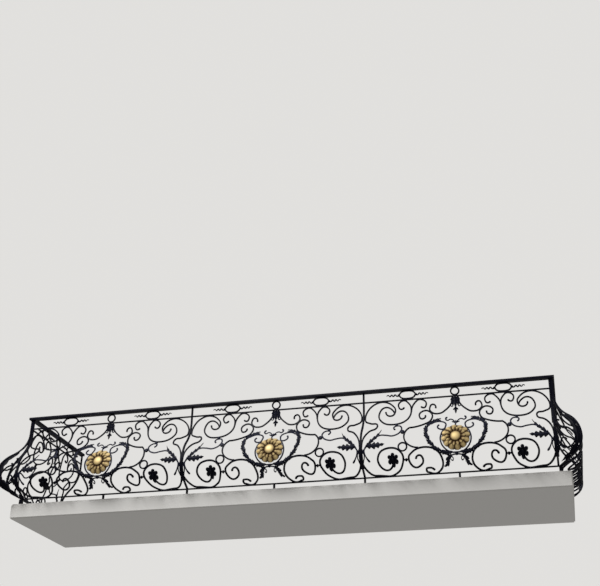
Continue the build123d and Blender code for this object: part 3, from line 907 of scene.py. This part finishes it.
def sunflower(panel):
    """Two rows of petals round a domed eye."""
    work = Work()
    centre = panel.spot(*FLOWER_SPOT)
    for index in range(OUTER_PETALS):
        angle = 2 * math.pi * (index + 0.25) / OUTER_PETALS
        lift = LAPPED_RISE * (index % 2)
        heights = [0.002, 0.009 + lift, 0.014 + lift, 0.011 + lift, lift]
        petal(work, centre, angle, FLOWER_RADIUS, OUTER_PETAL_HALF, heights, blunt=2.6)
    for index in range(INNER_PETALS):
        angle = 2 * math.pi * index / INNER_PETALS
        heights = [0.004, 0.011, 0.019, 0.022, 0.016]
        petal(work, centre, angle, FLOWER_RADIUS * INNER_REACH, INNER_PETAL_HALF, heights, blunt=1.4)
    turn = np.linspace(0.05, 1, 9) * math.pi / 2
    heights = 0.010 + 0.016 * np.cos(turn)
    round_work(work, centre, EYE_RADIUS * np.sin(turn), heights, EYE_STEPS, EYE_BACK)
    return work


bay_flower = sunflower(bay_panel)
print("faces in a sunflower:", len(bay_flower.faces))

# %% [markdown]
# ## The frieze between the upper rails
# A ring stands over the axis of each bay, and a long oval about halfway to each post. The oval's
# ends are nipped to a short point, and a waved bar tapers away from each. They stand in one flat
# plane, so the same bar function serves, because above the belly it lays things flat.

# %% The frieze
FRIEZE_HEIGHT = frieze_high - frieze_low
FRIEZE_MIDDLE = (frieze_high + frieze_low) / 2
OVAL_HALF_LENGTH = 0.092
OVAL_OFFSET = 0.490
OVAL_SHAPE = [(1.0, 0.0), (0.90, 0.42), (0.68, 0.80), (0.36, 0.97), (0.0, 1.0)]
WAVE_LENGTH = 0.125
WAVE_TURNS = 7
WAVE_SWING = 0.0075
WAVE_WIDTH = 0.014
WAVE_TAPER = [(0, 1.0), (0.6, 0.95), (1, 0.5)]
LAST_SWING_SHARE = 0.3
RING_BITE = 0.0005
OVAL_BITE = 0.001


def frieze_ring():
    """The ring over a panel's axis, let into the rails above and below."""
    work = Work()
    ring(work, (0, FRIEZE_MIDDLE), FRIEZE_HEIGHT / 2 - BAR_WIDTH / 2 + RING_BITE)
    return work


def frieze_oval(x):
    """An oval with a short point and a waved bar at both ends."""
    work = Work()
    length = OVAL_HALF_LENGTH - BAR_WIDTH / 2
    height = FRIEZE_HEIGHT / 2 - BAR_WIDTH / 2 + OVAL_BITE
    for up in (1, -1):
        half = [(a * length, FRIEZE_MIDDLE + up * b * height) for a, b in OVAL_SHAPE]
        arc = [(x - a, z) for a, z in half] + [(x + a, z) for a, z in reversed(half[:-1])]
        bar(work, bent_line(arc))
    for way in (1, -1):
        wave = [(x + way * (OVAL_HALF_LENGTH - BAR_WIDTH), FRIEZE_MIDDLE)]
        for step in range(1, WAVE_TURNS + 1):
            swing = WAVE_SWING * (-1) ** step * (1 if step < WAVE_TURNS else LAST_SWING_SHARE)
            reach = OVAL_HALF_LENGTH + WAVE_LENGTH * step / WAVE_TURNS
            wave.append((x + way * reach, FRIEZE_MIDDLE + swing))
        bar(work, bent_line(wave), width=WAVE_WIDTH, depth=THIN_DEPTH, free=END, taper=WAVE_TAPER)
        boss(work, (x + way * OVAL_HALF_LENGTH, FRIEZE_MIDDLE), 0.009, rise=0.004, lift=ON_THIN_BAR)
    return work


bay_frieze = Work(frieze_ring(), frieze_oval(OVAL_OFFSET), frieze_oval(-OVAL_OFFSET))
print("faces over one bay:", len(bay_frieze.faces))

# %% [markdown]
# ## Posts and their sheaves
# Each post is a square bar on the belly's line, and near its foot a sheaf of thinner bars swells
# out on both sides under two collars. The sheaf covers the place where the low scrolls meet the
# post. The bars of the sheaf are two bent lines a side from one formula.

# %% The posts
SHEAF_TOP = 0.310
SHEAF_MIDDLE = 0.215
SHEAF_LOW = 0.125
SHEAF_HALF_WIDTH = 0.040
SHEAF_BAR = 0.010
SHEAF_BAR_DEPTH = 0.012
SHEAF_ROOT = 0.006
SHEAF_SHOULDER_SHARE = 0.45
SHEAF_BARS = (0.45, 1.0)
SHEAF_RISE = 0.045
SHEAF_FALL = 0.05
COLLAR_HALF_WIDTH = 0.017
COLLAR_DEPTH = 0.022
COLLAR_INNER = 0.012
COLLAR_OUTER = 0.006
OVERLAP = 0.001


def straight_line(x, low, high):
    """A line of places straight up, in steps small enough to follow the belly."""
    steps = max(1, math.ceil((high - low) / LONGEST_STEP))
    z = np.linspace(low, high, steps + 1)
    return np.stack([np.full_like(z, x), z], axis=1)


def collar_on(work, x, sides, low, high):
    """Adds a collar round a post, cut off flush with the post on a side that has no sheaf."""
    left = COLLAR_HALF_WIDTH if -1 in sides else post_width / 2
    right = COLLAR_HALF_WIDTH if 1 in sides else post_width / 2
    line = straight_line(x + (right - left) / 2, low, high)
    bar(work, line, width=left + right, depth=COLLAR_DEPTH)


def sheaf(work, x, sides):
    """Adds the sheaf's bars on the given sides of a post, and its two collars."""
    for way in sides:
        for share in SHEAF_BARS:
            reach = (SHEAF_HALF_WIDTH - SHEAF_BAR / 2) * share
            shoulder = SHEAF_ROOT + reach * SHEAF_SHOULDER_SHARE
            points = [
                (x + way * SHEAF_ROOT, SHEAF_TOP),
                (x + way * shoulder, SHEAF_MIDDLE + SHEAF_RISE),
                (x + way * reach, SHEAF_MIDDLE),
                (x + way * shoulder, SHEAF_MIDDLE - SHEAF_FALL),
                (x + way * SHEAF_ROOT, SHEAF_LOW),
            ]
            bar(work, bent_line(points), width=SHEAF_BAR, depth=SHEAF_BAR_DEPTH, lift=0.001 * share)
    collar_on(work, x, sides, SHEAF_TOP - COLLAR_INNER, SHEAF_TOP + COLLAR_OUTER)
    collar_on(work, x, sides, SHEAF_LOW - COLLAR_OUTER, SHEAF_LOW + COLLAR_INNER)


def post(sides=(1, -1)):
    """A post at the panel's axis, between the bottom rail and the handrail."""
    work = Work()
    for low, high in ((panel_low, panel_high), (frieze_low, frieze_high)):
        line = straight_line(0, low - OVERLAP, high + OVERLAP)
        bar(work, line, width=post_width, depth=post_width)
    sheaf(work, 0, sides)
    return work


front_post = post()
print("faces in a post:", len(front_post.faces))

# %% [markdown]
# ## The corners
# At a corner the belly swings out both ways, so the corner bar follows the mitre and its section
# is skewed. A small scroll fills the gap on both sides of it, and a big leaf hugs the bar from
# the waist to the foot. The leaf is made as a half in the front's plane and mirrored over the
# mitre, because a leaf bent over an edge is two flat leaves that share the edge.

# %% Corner bars and scrolls
CORNER_LINE = [
    (50, 452), (22, 462), (10, 428), (48, 392), (138, 350), (184, 270), (148, 195),
    (80, 180), (46, 225), (72, 262), (100, 240),
]
CORNER_LEAF_TOP = 0.560
CORNER_LEAF_LOW = 0.085
CORNER_LEAF_HALF = 0.036
CORNER_EDGE_SHARE = 0.25
PARTS_OF_A_METRE = 1000.0


def corner_bar():
    """The bar of the right corner, whose section is a square with its edges taken off."""
    work = Work()
    z = straight_line(0, panel_low - OVERLAP, panel_high + OVERLAP)[:, 1]
    reach, _ = belly(z)
    half = corner_post_width / 2
    edge = half * CORNER_EDGE_SHARE
    square = [
        (half, -half + edge), (half, half - edge), (half - edge, half), (-half + edge, half),
        (-half, half - edge), (-half, -half + edge), (-half + edge, -half), (half - edge, -half),
    ]
    rings = np.array([[(corner_x + r + a, -r + b, h) for a, b in square] for r, h in zip(reach, z)])
    work.add(rings, skin(rings))
    head_heights = (frieze_low - OVERLAP, frieze_high + OVERLAP)
    head = np.array([[(corner_x + a, b, h) for a, b in square] for h in head_heights])
    work.add(head, skin(head))
    return work


def corner_scroll():
    """One scroll in the front's plane beside the right corner, drawn from the end post's axis."""
    work = Work()
    panel = Panel(1.0, PARTS_OF_A_METRE)
    line = bent_line(panel.spots(CORNER_LINE)) + (end_post_x, 0)
    bar(work, line, free=BOTH)
    return work


def corner_leaf():
    """The half in the front's plane of the big leaf that hugs the right corner bar."""
    work = Work()
    z = np.linspace(CORNER_LEAF_TOP, CORNER_LEAF_LOW, SPINE_STEPS)
    spine = np.stack([corner_x + belly(z)[0] - CORNER_LEAF_HALF, z], axis=1)
    leaf(work, spine, CORNER_LEAF_HALF, 6, cut=0.5, slant=0.9, base=0.04, fine=0.8, edge=lobed)
    return work


def over_the_mitre(points):
    """Mirrors the front's shapes into the return, over the plane of the mitre."""
    return np.stack([corner_x - points[:, 1], corner_x - points[:, 0], points[:, 2]], axis=1)


front_corner = Work(corner_scroll(), corner_leaf())
corner_scrolls = Work(front_corner, front_corner.changed(over_the_mitre))
print("faces at a corner:", len(corner_scrolls.faces))

# %% [markdown]
# ## Rails with mitred corners
# The handrail and the two flat rails turn the corner on a mitre. A rail is one section drawn
# once and run along the front and along both returns, with its ends cut on the mitre plane. The
# section has rounded edges, which catch a thin line of light along the whole railing.

# %% The rails
RAIL_EDGE = 0.0015
HANDRAIL_CROWN = 0.007
HANDRAIL_EDGE = 0.003
SHOULDER_DROP = 0.001
CROWN_STEPS = 8
CROWN_SHARE = 0.97


def rounded_section(width, low, high):
    """Corners of a flat rail's section: across the rail and up."""
    w, edge = width / 2, RAIL_EDGE
    right = [(w - edge, low), (w, low + edge), (w, high - edge), (w - edge, high)]
    return np.array(right + [(-x, z) for x, z in reversed(right)])


def handrail_section():
    """The same for the handrail, whose top is a low arc between two shoulders."""
    low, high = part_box("front_handrail")[0].z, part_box("front_handrail")[1].z
    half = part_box("front_handrail")[1].y
    radius = (half**2 + HANDRAIL_CROWN**2) / (2 * HANDRAIL_CROWN)
    turn = math.asin(half / radius) * CROWN_SHARE
    crown = []
    for step in range(CROWN_STEPS + 1):
        angle = turn * (1 - 2 * step / CROWN_STEPS)
        crown.append((radius * math.sin(angle), high - radius + radius * math.cos(angle)))
    shoulder = high - HANDRAIL_CROWN - SHOULDER_DROP
    right = [(half - HANDRAIL_EDGE, low), (half, low + HANDRAIL_EDGE), (half, shoulder)]
    left = [(-x, z) for x, z in reversed(right)]
    return np.array(right + crown + left)


def front_rail(section):
    """A rail across the front, with both ends on the mitre."""
    work = Work()
    ends = []
    for side in (-1, 1):
        ends.append([(side * (corner_x - across), across, up) for across, up in section])
    rings = np.array(ends)
    work.add(rings, skin(rings))
    return work


def return_rail(section):
    """A rail along the right return, from the mitre to the wall."""
    work = Work()
    rings = np.array([
        [(corner_x - across, across, up) for across, up in section],
        [(corner_x - across, wall_y, up) for across, up in section],
    ])
    work.add(rings, skin(rings))
    return work


rail_sections = {
    "handrail": handrail_section(),
    "second_rail": rounded_section(rail_depth, panel_high, frieze_low),
    "bottom_rail": rounded_section(rail_depth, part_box("front_bottom_rail")[0].z, panel_low),
}
print("corners of each rail's section:", {name: len(section) for name, section in rail_sections.items()})

# %% [markdown]
# ## Feet
# The bottom rail stands on short square stubs under the bay axes and the posts. They are set in
# the slab, so their undersides are the faces that the balcony carries.

# %% The feet
FOOT = 0.020
CORNER_FOOT = 0.036
FOOT_EDGE = 0.002
FOOT_OVERLAP = 0.002


def foot(work, x, y, size):
    """Adds a stub from the slab up into the bottom rail."""
    h, inner = size / 2, size / 2 - FOOT_EDGE
    square = [(h, -inner), (h, inner), (inner, h), (-inner, h)]
    square += [(-a, -b) for a, b in square]
    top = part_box("front_bottom_rail")[0].z + FOOT_OVERLAP
    rings = np.array([[(x + a, y + b, z) for a, b in square] for z in (0.0, top)])
    work.add(rings, skin(rings))


front_feet = Work()
for x in (*bay_axes.values(), -post_x, post_x):
    foot(front_feet, x, 0, FOOT)
for x in (-corner_x, corner_x):
    foot(front_feet, x, 0, CORNER_FOOT)
return_feet = Work()
for y in (return_middle, last_stile):
    foot(return_feet, corner_x, y, FOOT)
print("feet in front:", len(front_feet.points), "and under a return:", len(return_feet.points))

# %% [markdown]
# ## Putting the front together
# Each solid part of the frame gets one modelled piece that stands for it. A bay's pieces are
# made once and moved to the three axes.

# %% The front
bay_pieces = {
    "upper_scrolls": (both_halves(bay_upper), "scroll_paint"),
    "lower_scrolls": (both_halves(bay_lower), "scroll_paint"),
    "leaf_branches": (both_halves(bay_branch), "leaf_paint"),
    "lyre_garland": (bay_lyre, "scroll_paint"),
    "leaf_drop": (bay_drop, "leaf_paint"),
    "sunflower": (bay_flower, "gilt"),
}
for side, axis in bay_axes.items():
    for name, (work, slot) in bay_pieces.items():
        node = f"{side}_bay_{name}"
        make_piece(f"{node}_forged", work.changed(along(axis)), [node])
frieze = Work(*[bay_frieze.changed(along(axis)) for axis in bay_axes.values()])
make_piece("front_frieze_forged", frieze, ["front_frieze"])
for side, x in (("left", -post_x), ("right", post_x)):
    node = f"{side}_front_post"
    make_piece(f"{node}_forged", front_post.changed(along(x)), [node])
for name, section in rail_sections.items():
    make_piece(f"front_{name}_rolled", front_rail(section), [f"front_{name}"])
make_piece("front_feet_forged", front_feet, ["front_feet"])
print("pieces so far:", len(made_pieces))

# %% [markdown]
# ## The returns
# The two ends of the balcony are the same panel, mirrored. They are shorter than a bay, so the
# lyre and its flower are left out and narrower curls take their place.

# %% Points of the returns
RETURN_SWAG = [(42, 780), (66, 735), (105, 710), (158, 714)]
RETURN_WAIST = [
    (92, 650), (110, 622), (130, 658), (92, 702), (42, 665), (34, 600), (80, 545), (150, 508),
]
RETURN_WAIST_LOW = [(146, 511), (196, 440), (200, 345), (140, 282), (75, 264)]
RETURN_FOOT_SCROLL = [
    (62, 80), (86, 97), (110, 80), (88, 66), (60, 69), (24, 115), (30, 180), (60, 240),
    (110, 262), (168, 232), (200, 165), (178, 112), (138, 106), (104, 142), (126, 180),
    (152, 160),
]
RETURN_BOSS = (0, 118)
RETURN_BOSS_RADIUS = 0.020

return_upper = scrolls(outer_panel, [(GREAT_SCROLL, BOTH), (SHOULDER_SCROLL, START)])
return_upper.take(scrolls(whole_panel, [(RETURN_SWAG, NONE)]))
return_lower = scrolls(
    whole_panel, [(RETURN_WAIST, START), (RETURN_WAIST_LOW, NONE), (RETURN_FOOT_SCROLL, BOTH)]
)
outer_foot(outer_panel, return_lower)
return_lower_whole = both_halves(return_lower)
boss(return_lower_whole, whole_panel.spot(*RETURN_BOSS), RETURN_BOSS_RADIUS, rise=0.012)
return_frieze = Work(frieze_ring(), frieze_oval(return_half / 2), frieze_oval(-return_half / 2))
wall_post = post(sides=(-1,))
stiles = Work(front_post.changed(along(first_stile)), wall_post.changed(along(last_stile)))
return_upper_whole = Work(both_halves(return_upper), leaf_drop(whole_panel))
return_branches = both_halves(leaf_branch(outer_panel))


def to_return(points):
    """Moves a panel drawn about its axis to the middle of the right return."""
    return on_return(points + (return_middle, 0, 0))


right_return = {
    "return_upper_scrolls": (return_upper_whole.changed(to_return), "scroll_paint"),
    "return_lower_scrolls": (return_lower_whole.changed(to_return), "scroll_paint"),
    "return_leaf_branches": (return_branches.changed(to_return), "leaf_paint"),
    "return_frieze": (return_frieze.changed(to_return), "scroll_paint"),
    "return_posts": (Work(stiles.changed(on_return), return_feet), "scroll_paint"),
    "corner_post": (corner_bar(), "scroll_paint"),
    "corner_scrolls": (corner_scrolls, "scroll_paint"),
    "end_post": (front_post.changed(along(end_post_x)), "scroll_paint"),
}
for name, section in rail_sections.items():
    right_return[f"return_{name}"] = (return_rail(section), "rail_paint")
for name, (work, slot) in right_return.items():
    ending = "rolled" if slot == "rail_paint" else "forged"
    make_piece(f"right_{name}_{ending}", work, [f"right_{name}"])
    make_piece(f"left_{name}_{ending}", work.changed(mirrored), [f"left_{name}"])
triangles = sum(len(face.vertices) - 2 for piece in made_pieces for face in piece.data.polygons)
print("pieces:", len(made_pieces), "triangles:", triangles)

# %% [markdown]
# ## Shared finishes
# Old outdoor paint is never one even colour. The hollows are painted darker as shade, and the same
# mask dulls their shine as dirt would; pale dust settles on what faces up, and thick brush coats
# leave a soft unevenness that breaks up the shine. Each effect is a small node group with named
# sockets, so that the paints and the gilt can all use it with other amounts. Painting the effects
# by hand would have to be done again after each change of shape.

# %% Node groups
def new_group(name, inputs, outputs):
    """An empty node group with the named sockets, and its input and output nodes."""
    group = bpy.data.node_groups.new(name, "ShaderNodeTree")
    for socket, default in inputs.items():
        made = group.interface.new_socket(name=socket, in_out="INPUT", socket_type="NodeSocketFloat")
        made.default_value = default
    for socket, kind in outputs.items():
        group.interface.new_socket(name=socket, in_out="OUTPUT", socket_type=kind)
    return group, group.nodes.new("NodeGroupInput"), group.nodes.new("NodeGroupOutput")


def math_node(tree, operation, first, second, third=0.0, clamp=False):
    """A math node with each of its inputs set to a number or wired to a socket."""
    node = tree.nodes.new("ShaderNodeMath")
    node.operation = operation
    node.use_clamp = clamp
    for socket, value in zip(node.inputs, (first, second, third)):
        if isinstance(value, (int, float)):
            socket.default_value = value
        else:
            tree.links.new(value, socket)
    return node.outputs[0]


def noise(tree, scale, detail=3.0):
    """The value of a noise that is fixed to the part's own metres."""
    place = tree.nodes.new("ShaderNodeTexCoord")
    node = tree.nodes.new("ShaderNodeTexNoise")
    node.inputs["Detail"].default_value = detail
    tree.links.new(place.outputs["Object"], node.inputs["Vector"])
    if isinstance(scale, (int, float)):
        node.inputs["Scale"].default_value = scale
    else:
        tree.links.new(scale, node.inputs["Scale"])
    return node.outputs["Fac"]


# %% Painted shade and dirt in the hollows
PATCH_SPREAD = 0.9
PATCH_LEAST = 0.55
hollows, entry, result = new_group(
    "dirt in hollows", {"Amount": 0.6, "Patch Size": 40.0}, {"Mask": "NodeSocketFloat"}
)
# This mask darkens the colour where relief is low, which is painted shade, and dulls the shine there as dirt
# would.
relief = hollows.nodes.new("ShaderNodeAttribute")
relief.attribute_name = "relief"
depth = math_node(hollows, "SUBTRACT", 1.0, relief.outputs["Fac"])
patches = noise(hollows, entry.outputs["Patch Size"])
uneven = math_node(hollows, "MULTIPLY_ADD", patches, PATCH_SPREAD, PATCH_LEAST)
mask = math_node(hollows, "MULTIPLY", depth, uneven)
mask = math_node(hollows, "MULTIPLY", mask, entry.outputs["Amount"], clamp=True)
hollows.links.new(mask, result.inputs["Mask"])
print("nodes for dirt:", len(hollows.nodes))

# %% Dust on what faces up
STEEPEST_DUSTY = 0.35
dust, entry, result = new_group(
    "dust on top", {"Amount": 0.5, "Patch Size": 25.0}, {"Mask": "NodeSocketFloat"}
)
geometry = dust.nodes.new("ShaderNodeNewGeometry")
parts = dust.nodes.new("ShaderNodeSeparateXYZ")
dust.links.new(geometry.outputs["Normal"], parts.inputs[0])
upward = math_node(dust, "SUBTRACT", parts.outputs["Z"], STEEPEST_DUSTY, clamp=True)
patches = noise(dust, entry.outputs["Patch Size"], detail=5.0)
mask = math_node(dust, "MULTIPLY", upward, patches)
mask = math_node(dust, "MULTIPLY", mask, entry.outputs["Amount"], clamp=True)
dust.links.new(mask, result.inputs["Mask"])
print("nodes for dust:", len(dust.nodes))

# %% Thick brush coats
GRAIN_SHARE = 0.35
coats, entry, result = new_group(
    "brush coats", {"Grain": 260.0, "Waves": 30.0}, {"Height": "NodeSocketFloat", "Shine": "NodeSocketFloat"}
)
grain = noise(coats, entry.outputs["Grain"], detail=4.0)
waves = noise(coats, entry.outputs["Waves"], detail=2.0)
height = math_node(coats, "MULTIPLY", grain, GRAIN_SHARE)
height = math_node(coats, "ADD", height, waves)
coats.links.new(height, result.inputs["Height"])
coats.links.new(waves, result.inputs["Shine"])
print("shared groups:", [group.name for group in bpy.data.node_groups])

# %% [markdown]
# ## Paint and gilt
# The ironwork is a blue-black satin paint, so dark that it mostly shows as an outline. The cast
# leaves have the same paint, given a lighter blue as painted light, and hold more dust, which makes
# their veins show. The sunflowers are gilt, with a dark brown painted as shade in the hollows
# between the petals and on their backs.

# %% Materials
SHINE_SPREAD = 0.25
SHINE_MIDDLE = 0.12
DIRT_ROUGHNESS = 0.3
COAT_THICKNESS = 0.001


def srgb(r, g, b):
    """A colour of the screen, 0 to 255 a channel, as the linear one that a shader takes."""
    channels = [c / 255 for c in (r, g, b)]
    return tuple(((c + 0.055) / 1.055) ** 2.4 if c > 0.04045 else c / 12.92 for c in channels)


def group_node(tree, group, **amounts):
    """One of the shared effects in a material, with its own amounts."""
    node = tree.nodes.new("ShaderNodeGroup")
    node.node_tree = group
    for name, value in amounts.items():
        node.inputs[name.replace("_", " ")].default_value = value
    return node


def mixed(tree, mask, first, second):
    """One colour laid over another where the mask is high."""
    node = tree.nodes.new("ShaderNodeMix")
    node.data_type = "RGBA"
    tree.links.new(mask, node.inputs["Factor"])
    for socket, colour in (("A", first), ("B", second)):
        wanted = [s for s in node.inputs if s.name == socket and s.type == "RGBA"][0]
        if isinstance(colour, tuple):
            wanted.default_value = (*colour, 1)
        else:
            tree.links.new(colour, wanted)
    return [s for s in node.outputs if s.type == "RGBA"][0]


def aged(name, colour, hollow_shade_colour, dust_colour, hollow_amount, dust_amount, roughness, bump):
    """A coating with painted shade and dirt in its hollows, dust on top and a brushed surface."""
    material = bpy.data.materials.new(name)
    material.use_nodes = True
    tree = material.node_tree
    shader = tree.nodes["Principled BSDF"]
    shade_and_dirt = group_node(tree, hollows, Amount=hollow_amount)
    top = group_node(tree, dust, Amount=dust_amount)
    brushed = group_node(tree, coats)
    # the hollow colour laid over low relief is painted shade
    base = mixed(tree, shade_and_dirt.outputs["Mask"], colour, hollow_shade_colour)
    base = mixed(tree, top.outputs["Mask"], base, dust_colour)
    tree.links.new(base, shader.inputs["Base Color"])
    spread = math_node(tree, "MULTIPLY", brushed.outputs["Shine"], SHINE_SPREAD)
    rough = math_node(tree, "ADD", spread, roughness - SHINE_MIDDLE)
    dull = math_node(tree, "MULTIPLY", shade_and_dirt.outputs["Mask"], DIRT_ROUGHNESS)
    rough = math_node(tree, "ADD", rough, dull, clamp=True)
    tree.links.new(rough, shader.inputs["Roughness"])
    relief_bump = tree.nodes.new("ShaderNodeBump")
    relief_bump.inputs["Strength"].default_value = bump
    relief_bump.inputs["Distance"].default_value = COAT_THICKNESS
    tree.links.new(brushed.outputs["Height"], relief_bump.inputs["Height"])
    tree.links.new(relief_bump.outputs["Normal"], shader.inputs["Normal"])
    return material, shader


# a near-black painted as shade in the hollows and on the backs of leaves
PAINTED_HOLLOW_SHADE = srgb(4, 5, 9)
bar_paint, shader = aged(
    "blue_black_paint", srgb(7, 8, 20), PAINTED_HOLLOW_SHADE, srgb(66, 70, 84),
    hollow_amount=0.5, dust_amount=0.3, roughness=0.46, bump=0.25,
)
shader.inputs["Specular IOR Level"].default_value = 0.07
# the leaves and the lyre get the bars' paint in a lighter blue, which is painted light
leaf_paint, shader = aged(
    "cast_leaf_paint_painted_lighter", srgb(18, 21, 40), PAINTED_HOLLOW_SHADE, srgb(92, 96, 110),
    hollow_amount=1.0, dust_amount=0.5, roughness=0.48, bump=0.35,
)
shader.inputs["Specular IOR Level"].default_value = 0.12
# the dark brown in the gilt's hollows, between the petals and on their backs, is painted shade
gilt, shader = aged(
    "aged_gilt", srgb(226, 200, 142), srgb(58, 34, 6), srgb(205, 192, 160),
    hollow_amount=1.6, dust_amount=0.2, roughness=0.52, bump=0.3,
)
shader.inputs["Specular IOR Level"].default_value = 0.25
shader.inputs["Metallic"].default_value = 0.35
for piece in made_pieces:
    if "sunflower" in piece.name:
        finish = gilt
    elif any(word in piece.name for word in ("leaf", "lyre")):
        finish = leaf_paint
    else:
        finish = bar_paint
    piece.data.materials.append(finish)
print("materials:", [material.name for material in bpy.data.materials])

# %% [markdown]
# ## The camera
# The picture was taken from the street, well below the balcony and to the right of its middle, so
# the front runs away to the left and the underside of the floor shows. The camera's place and turns
# were fitted by least squares to where the rails, posts and ovals stand in the picture. Placing
# it by eye would have left the rails off by many pixels, and nothing else could then be compared.

# %% The camera
FOCAL_PIXELS = 1000
PHOTO_WIDTH = 600
SENSOR = 36.0
CAMERA_PLACE = Vector((2.765, -9.645, -2.982))
CAMERA_TURN, CAMERA_RISE, CAMERA_ROLL = 0.2558, 0.4828, -0.0154
data = bpy.data.cameras.new("camera")
data.sensor_width = SENSOR
data.lens = FOCAL_PIXELS * SENSOR / PHOTO_WIDTH
camera = bpy.data.objects.new("camera", data)
bpy.context.scene.collection.objects.link(camera)
forward = Vector((
    -math.sin(CAMERA_TURN) * math.cos(CAMERA_RISE),
    math.cos(CAMERA_TURN) * math.cos(CAMERA_RISE),
    math.sin(CAMERA_RISE),
))
right = forward.cross(Vector((0, 0, 1))).normalized()
up = right.cross(forward)
right, up = (
    right * math.cos(CAMERA_ROLL) - up * math.sin(CAMERA_ROLL),
    up * math.cos(CAMERA_ROLL) + right * math.sin(CAMERA_ROLL),
)
camera.matrix_world = Matrix((
    (right.x, up.x, -forward.x, CAMERA_PLACE.x),
    (right.y, up.y, -forward.y, CAMERA_PLACE.y),
    (right.z, up.z, -forward.z, CAMERA_PLACE.z),
    (0, 0, 0, 1),
))
bpy.context.scene.camera = camera
bpy.context.scene.view_settings.view_transform = "Standard"
print("camera at", [round(c, 3) for c in CAMERA_PLACE], "with a lens of", round(data.lens, 1), "mm")

# %% [markdown]
# ## The floor and the light
# The railing stands on a plain pale balcony floor, which is only a stage for it. The light is the
# even light of a bright overcast day: a pale world all round, and one large soft lamp from high on
# the left that shapes the petals and the rails. A small hard lamp would draw shadows of the bars
# on each other, and the dark ironwork would be hard to read.

# %% The floor
FLOOR_FRONT = -0.03
FLOOR_SIDE = 2.97
FLOOR_BACK = 1.32
FLOOR_THICKNESS = 0.16
FLOOR_DROP = 0.001
FLOOR_EDGE = 0.012
FLOOR_COLOUR = (0.62, 0.61, 0.59)
FLOOR_ROUGHNESS = 0.9


def floor_material():
    """A plain, pale and dull stone."""
    material = bpy.data.materials.new("pale_stone")
    material.use_nodes = True
    shader = material.node_tree.nodes["Principled BSDF"]
    shader.inputs["Base Color"].default_value = (*FLOOR_COLOUR, 1)
    shader.inputs["Roughness"].default_value = FLOOR_ROUGHNESS
    return material


floor_mesh = bpy.data.meshes.new("floor")
shape = bmesh.new()
bmesh.ops.create_cube(shape, size=1.0)
bmesh.ops.scale(
    shape, vec=(2 * FLOOR_SIDE, FLOOR_BACK - FLOOR_FRONT, FLOOR_THICKNESS), verts=shape.verts
)
middle = Vector((0, (FLOOR_BACK + FLOOR_FRONT) / 2, -FLOOR_DROP - FLOOR_THICKNESS / 2))
bmesh.ops.translate(shape, vec=middle, verts=shape.verts)
bmesh.ops.bevel(shape, geom=shape.edges, offset=FLOOR_EDGE, segments=3, affect="EDGES")
shape.to_mesh(floor_mesh)
shape.free()
floor = bpy.data.objects.new("floor", floor_mesh)
floor_mesh.materials.append(floor_material())
bpy.context.scene.collection.objects.link(floor)
print("floor:", [round(side, 3) for side in floor.dimensions])

# %% World and lamp
WORLD_COLOUR = (0.84, 0.83, 0.81)
SEEN_STRENGTH = 0.9
FILL_STRENGTH = 0.45
world = bpy.data.worlds.new("studio")
bpy.context.scene.world = world
world.use_nodes = True
background = world.node_tree.nodes["Background"]
background.inputs["Color"].default_value = (*WORLD_COLOUR, 1)
rays = world.node_tree.nodes.new("ShaderNodeLightPath")
level = world.node_tree.nodes.new("ShaderNodeMapRange")
world.node_tree.links.new(rays.outputs["Is Camera Ray"], level.inputs["Value"])
level.inputs["To Min"].default_value = FILL_STRENGTH
level.inputs["To Max"].default_value = SEEN_STRENGTH
world.node_tree.links.new(level.outputs["Result"], background.inputs["Strength"])


KEY_PLACE = Vector((-3.5, -6, 9))
KEY_AIM = Vector((0, 0, 0.4))
KEY_SIZE = 4
KEY_POWER = 1400
key = bpy.data.lights.new("key", "AREA")
key.energy = KEY_POWER
key.size = KEY_SIZE
lamp = bpy.data.objects.new("key", key)
lamp.location = KEY_PLACE
lamp.rotation_euler = (KEY_AIM - KEY_PLACE).to_track_quat("-Z", "Y").to_euler()
bpy.context.scene.collection.objects.link(lamp)
print("the lamp stands", round((KEY_AIM - KEY_PLACE).length, 1), "m from what it lights")
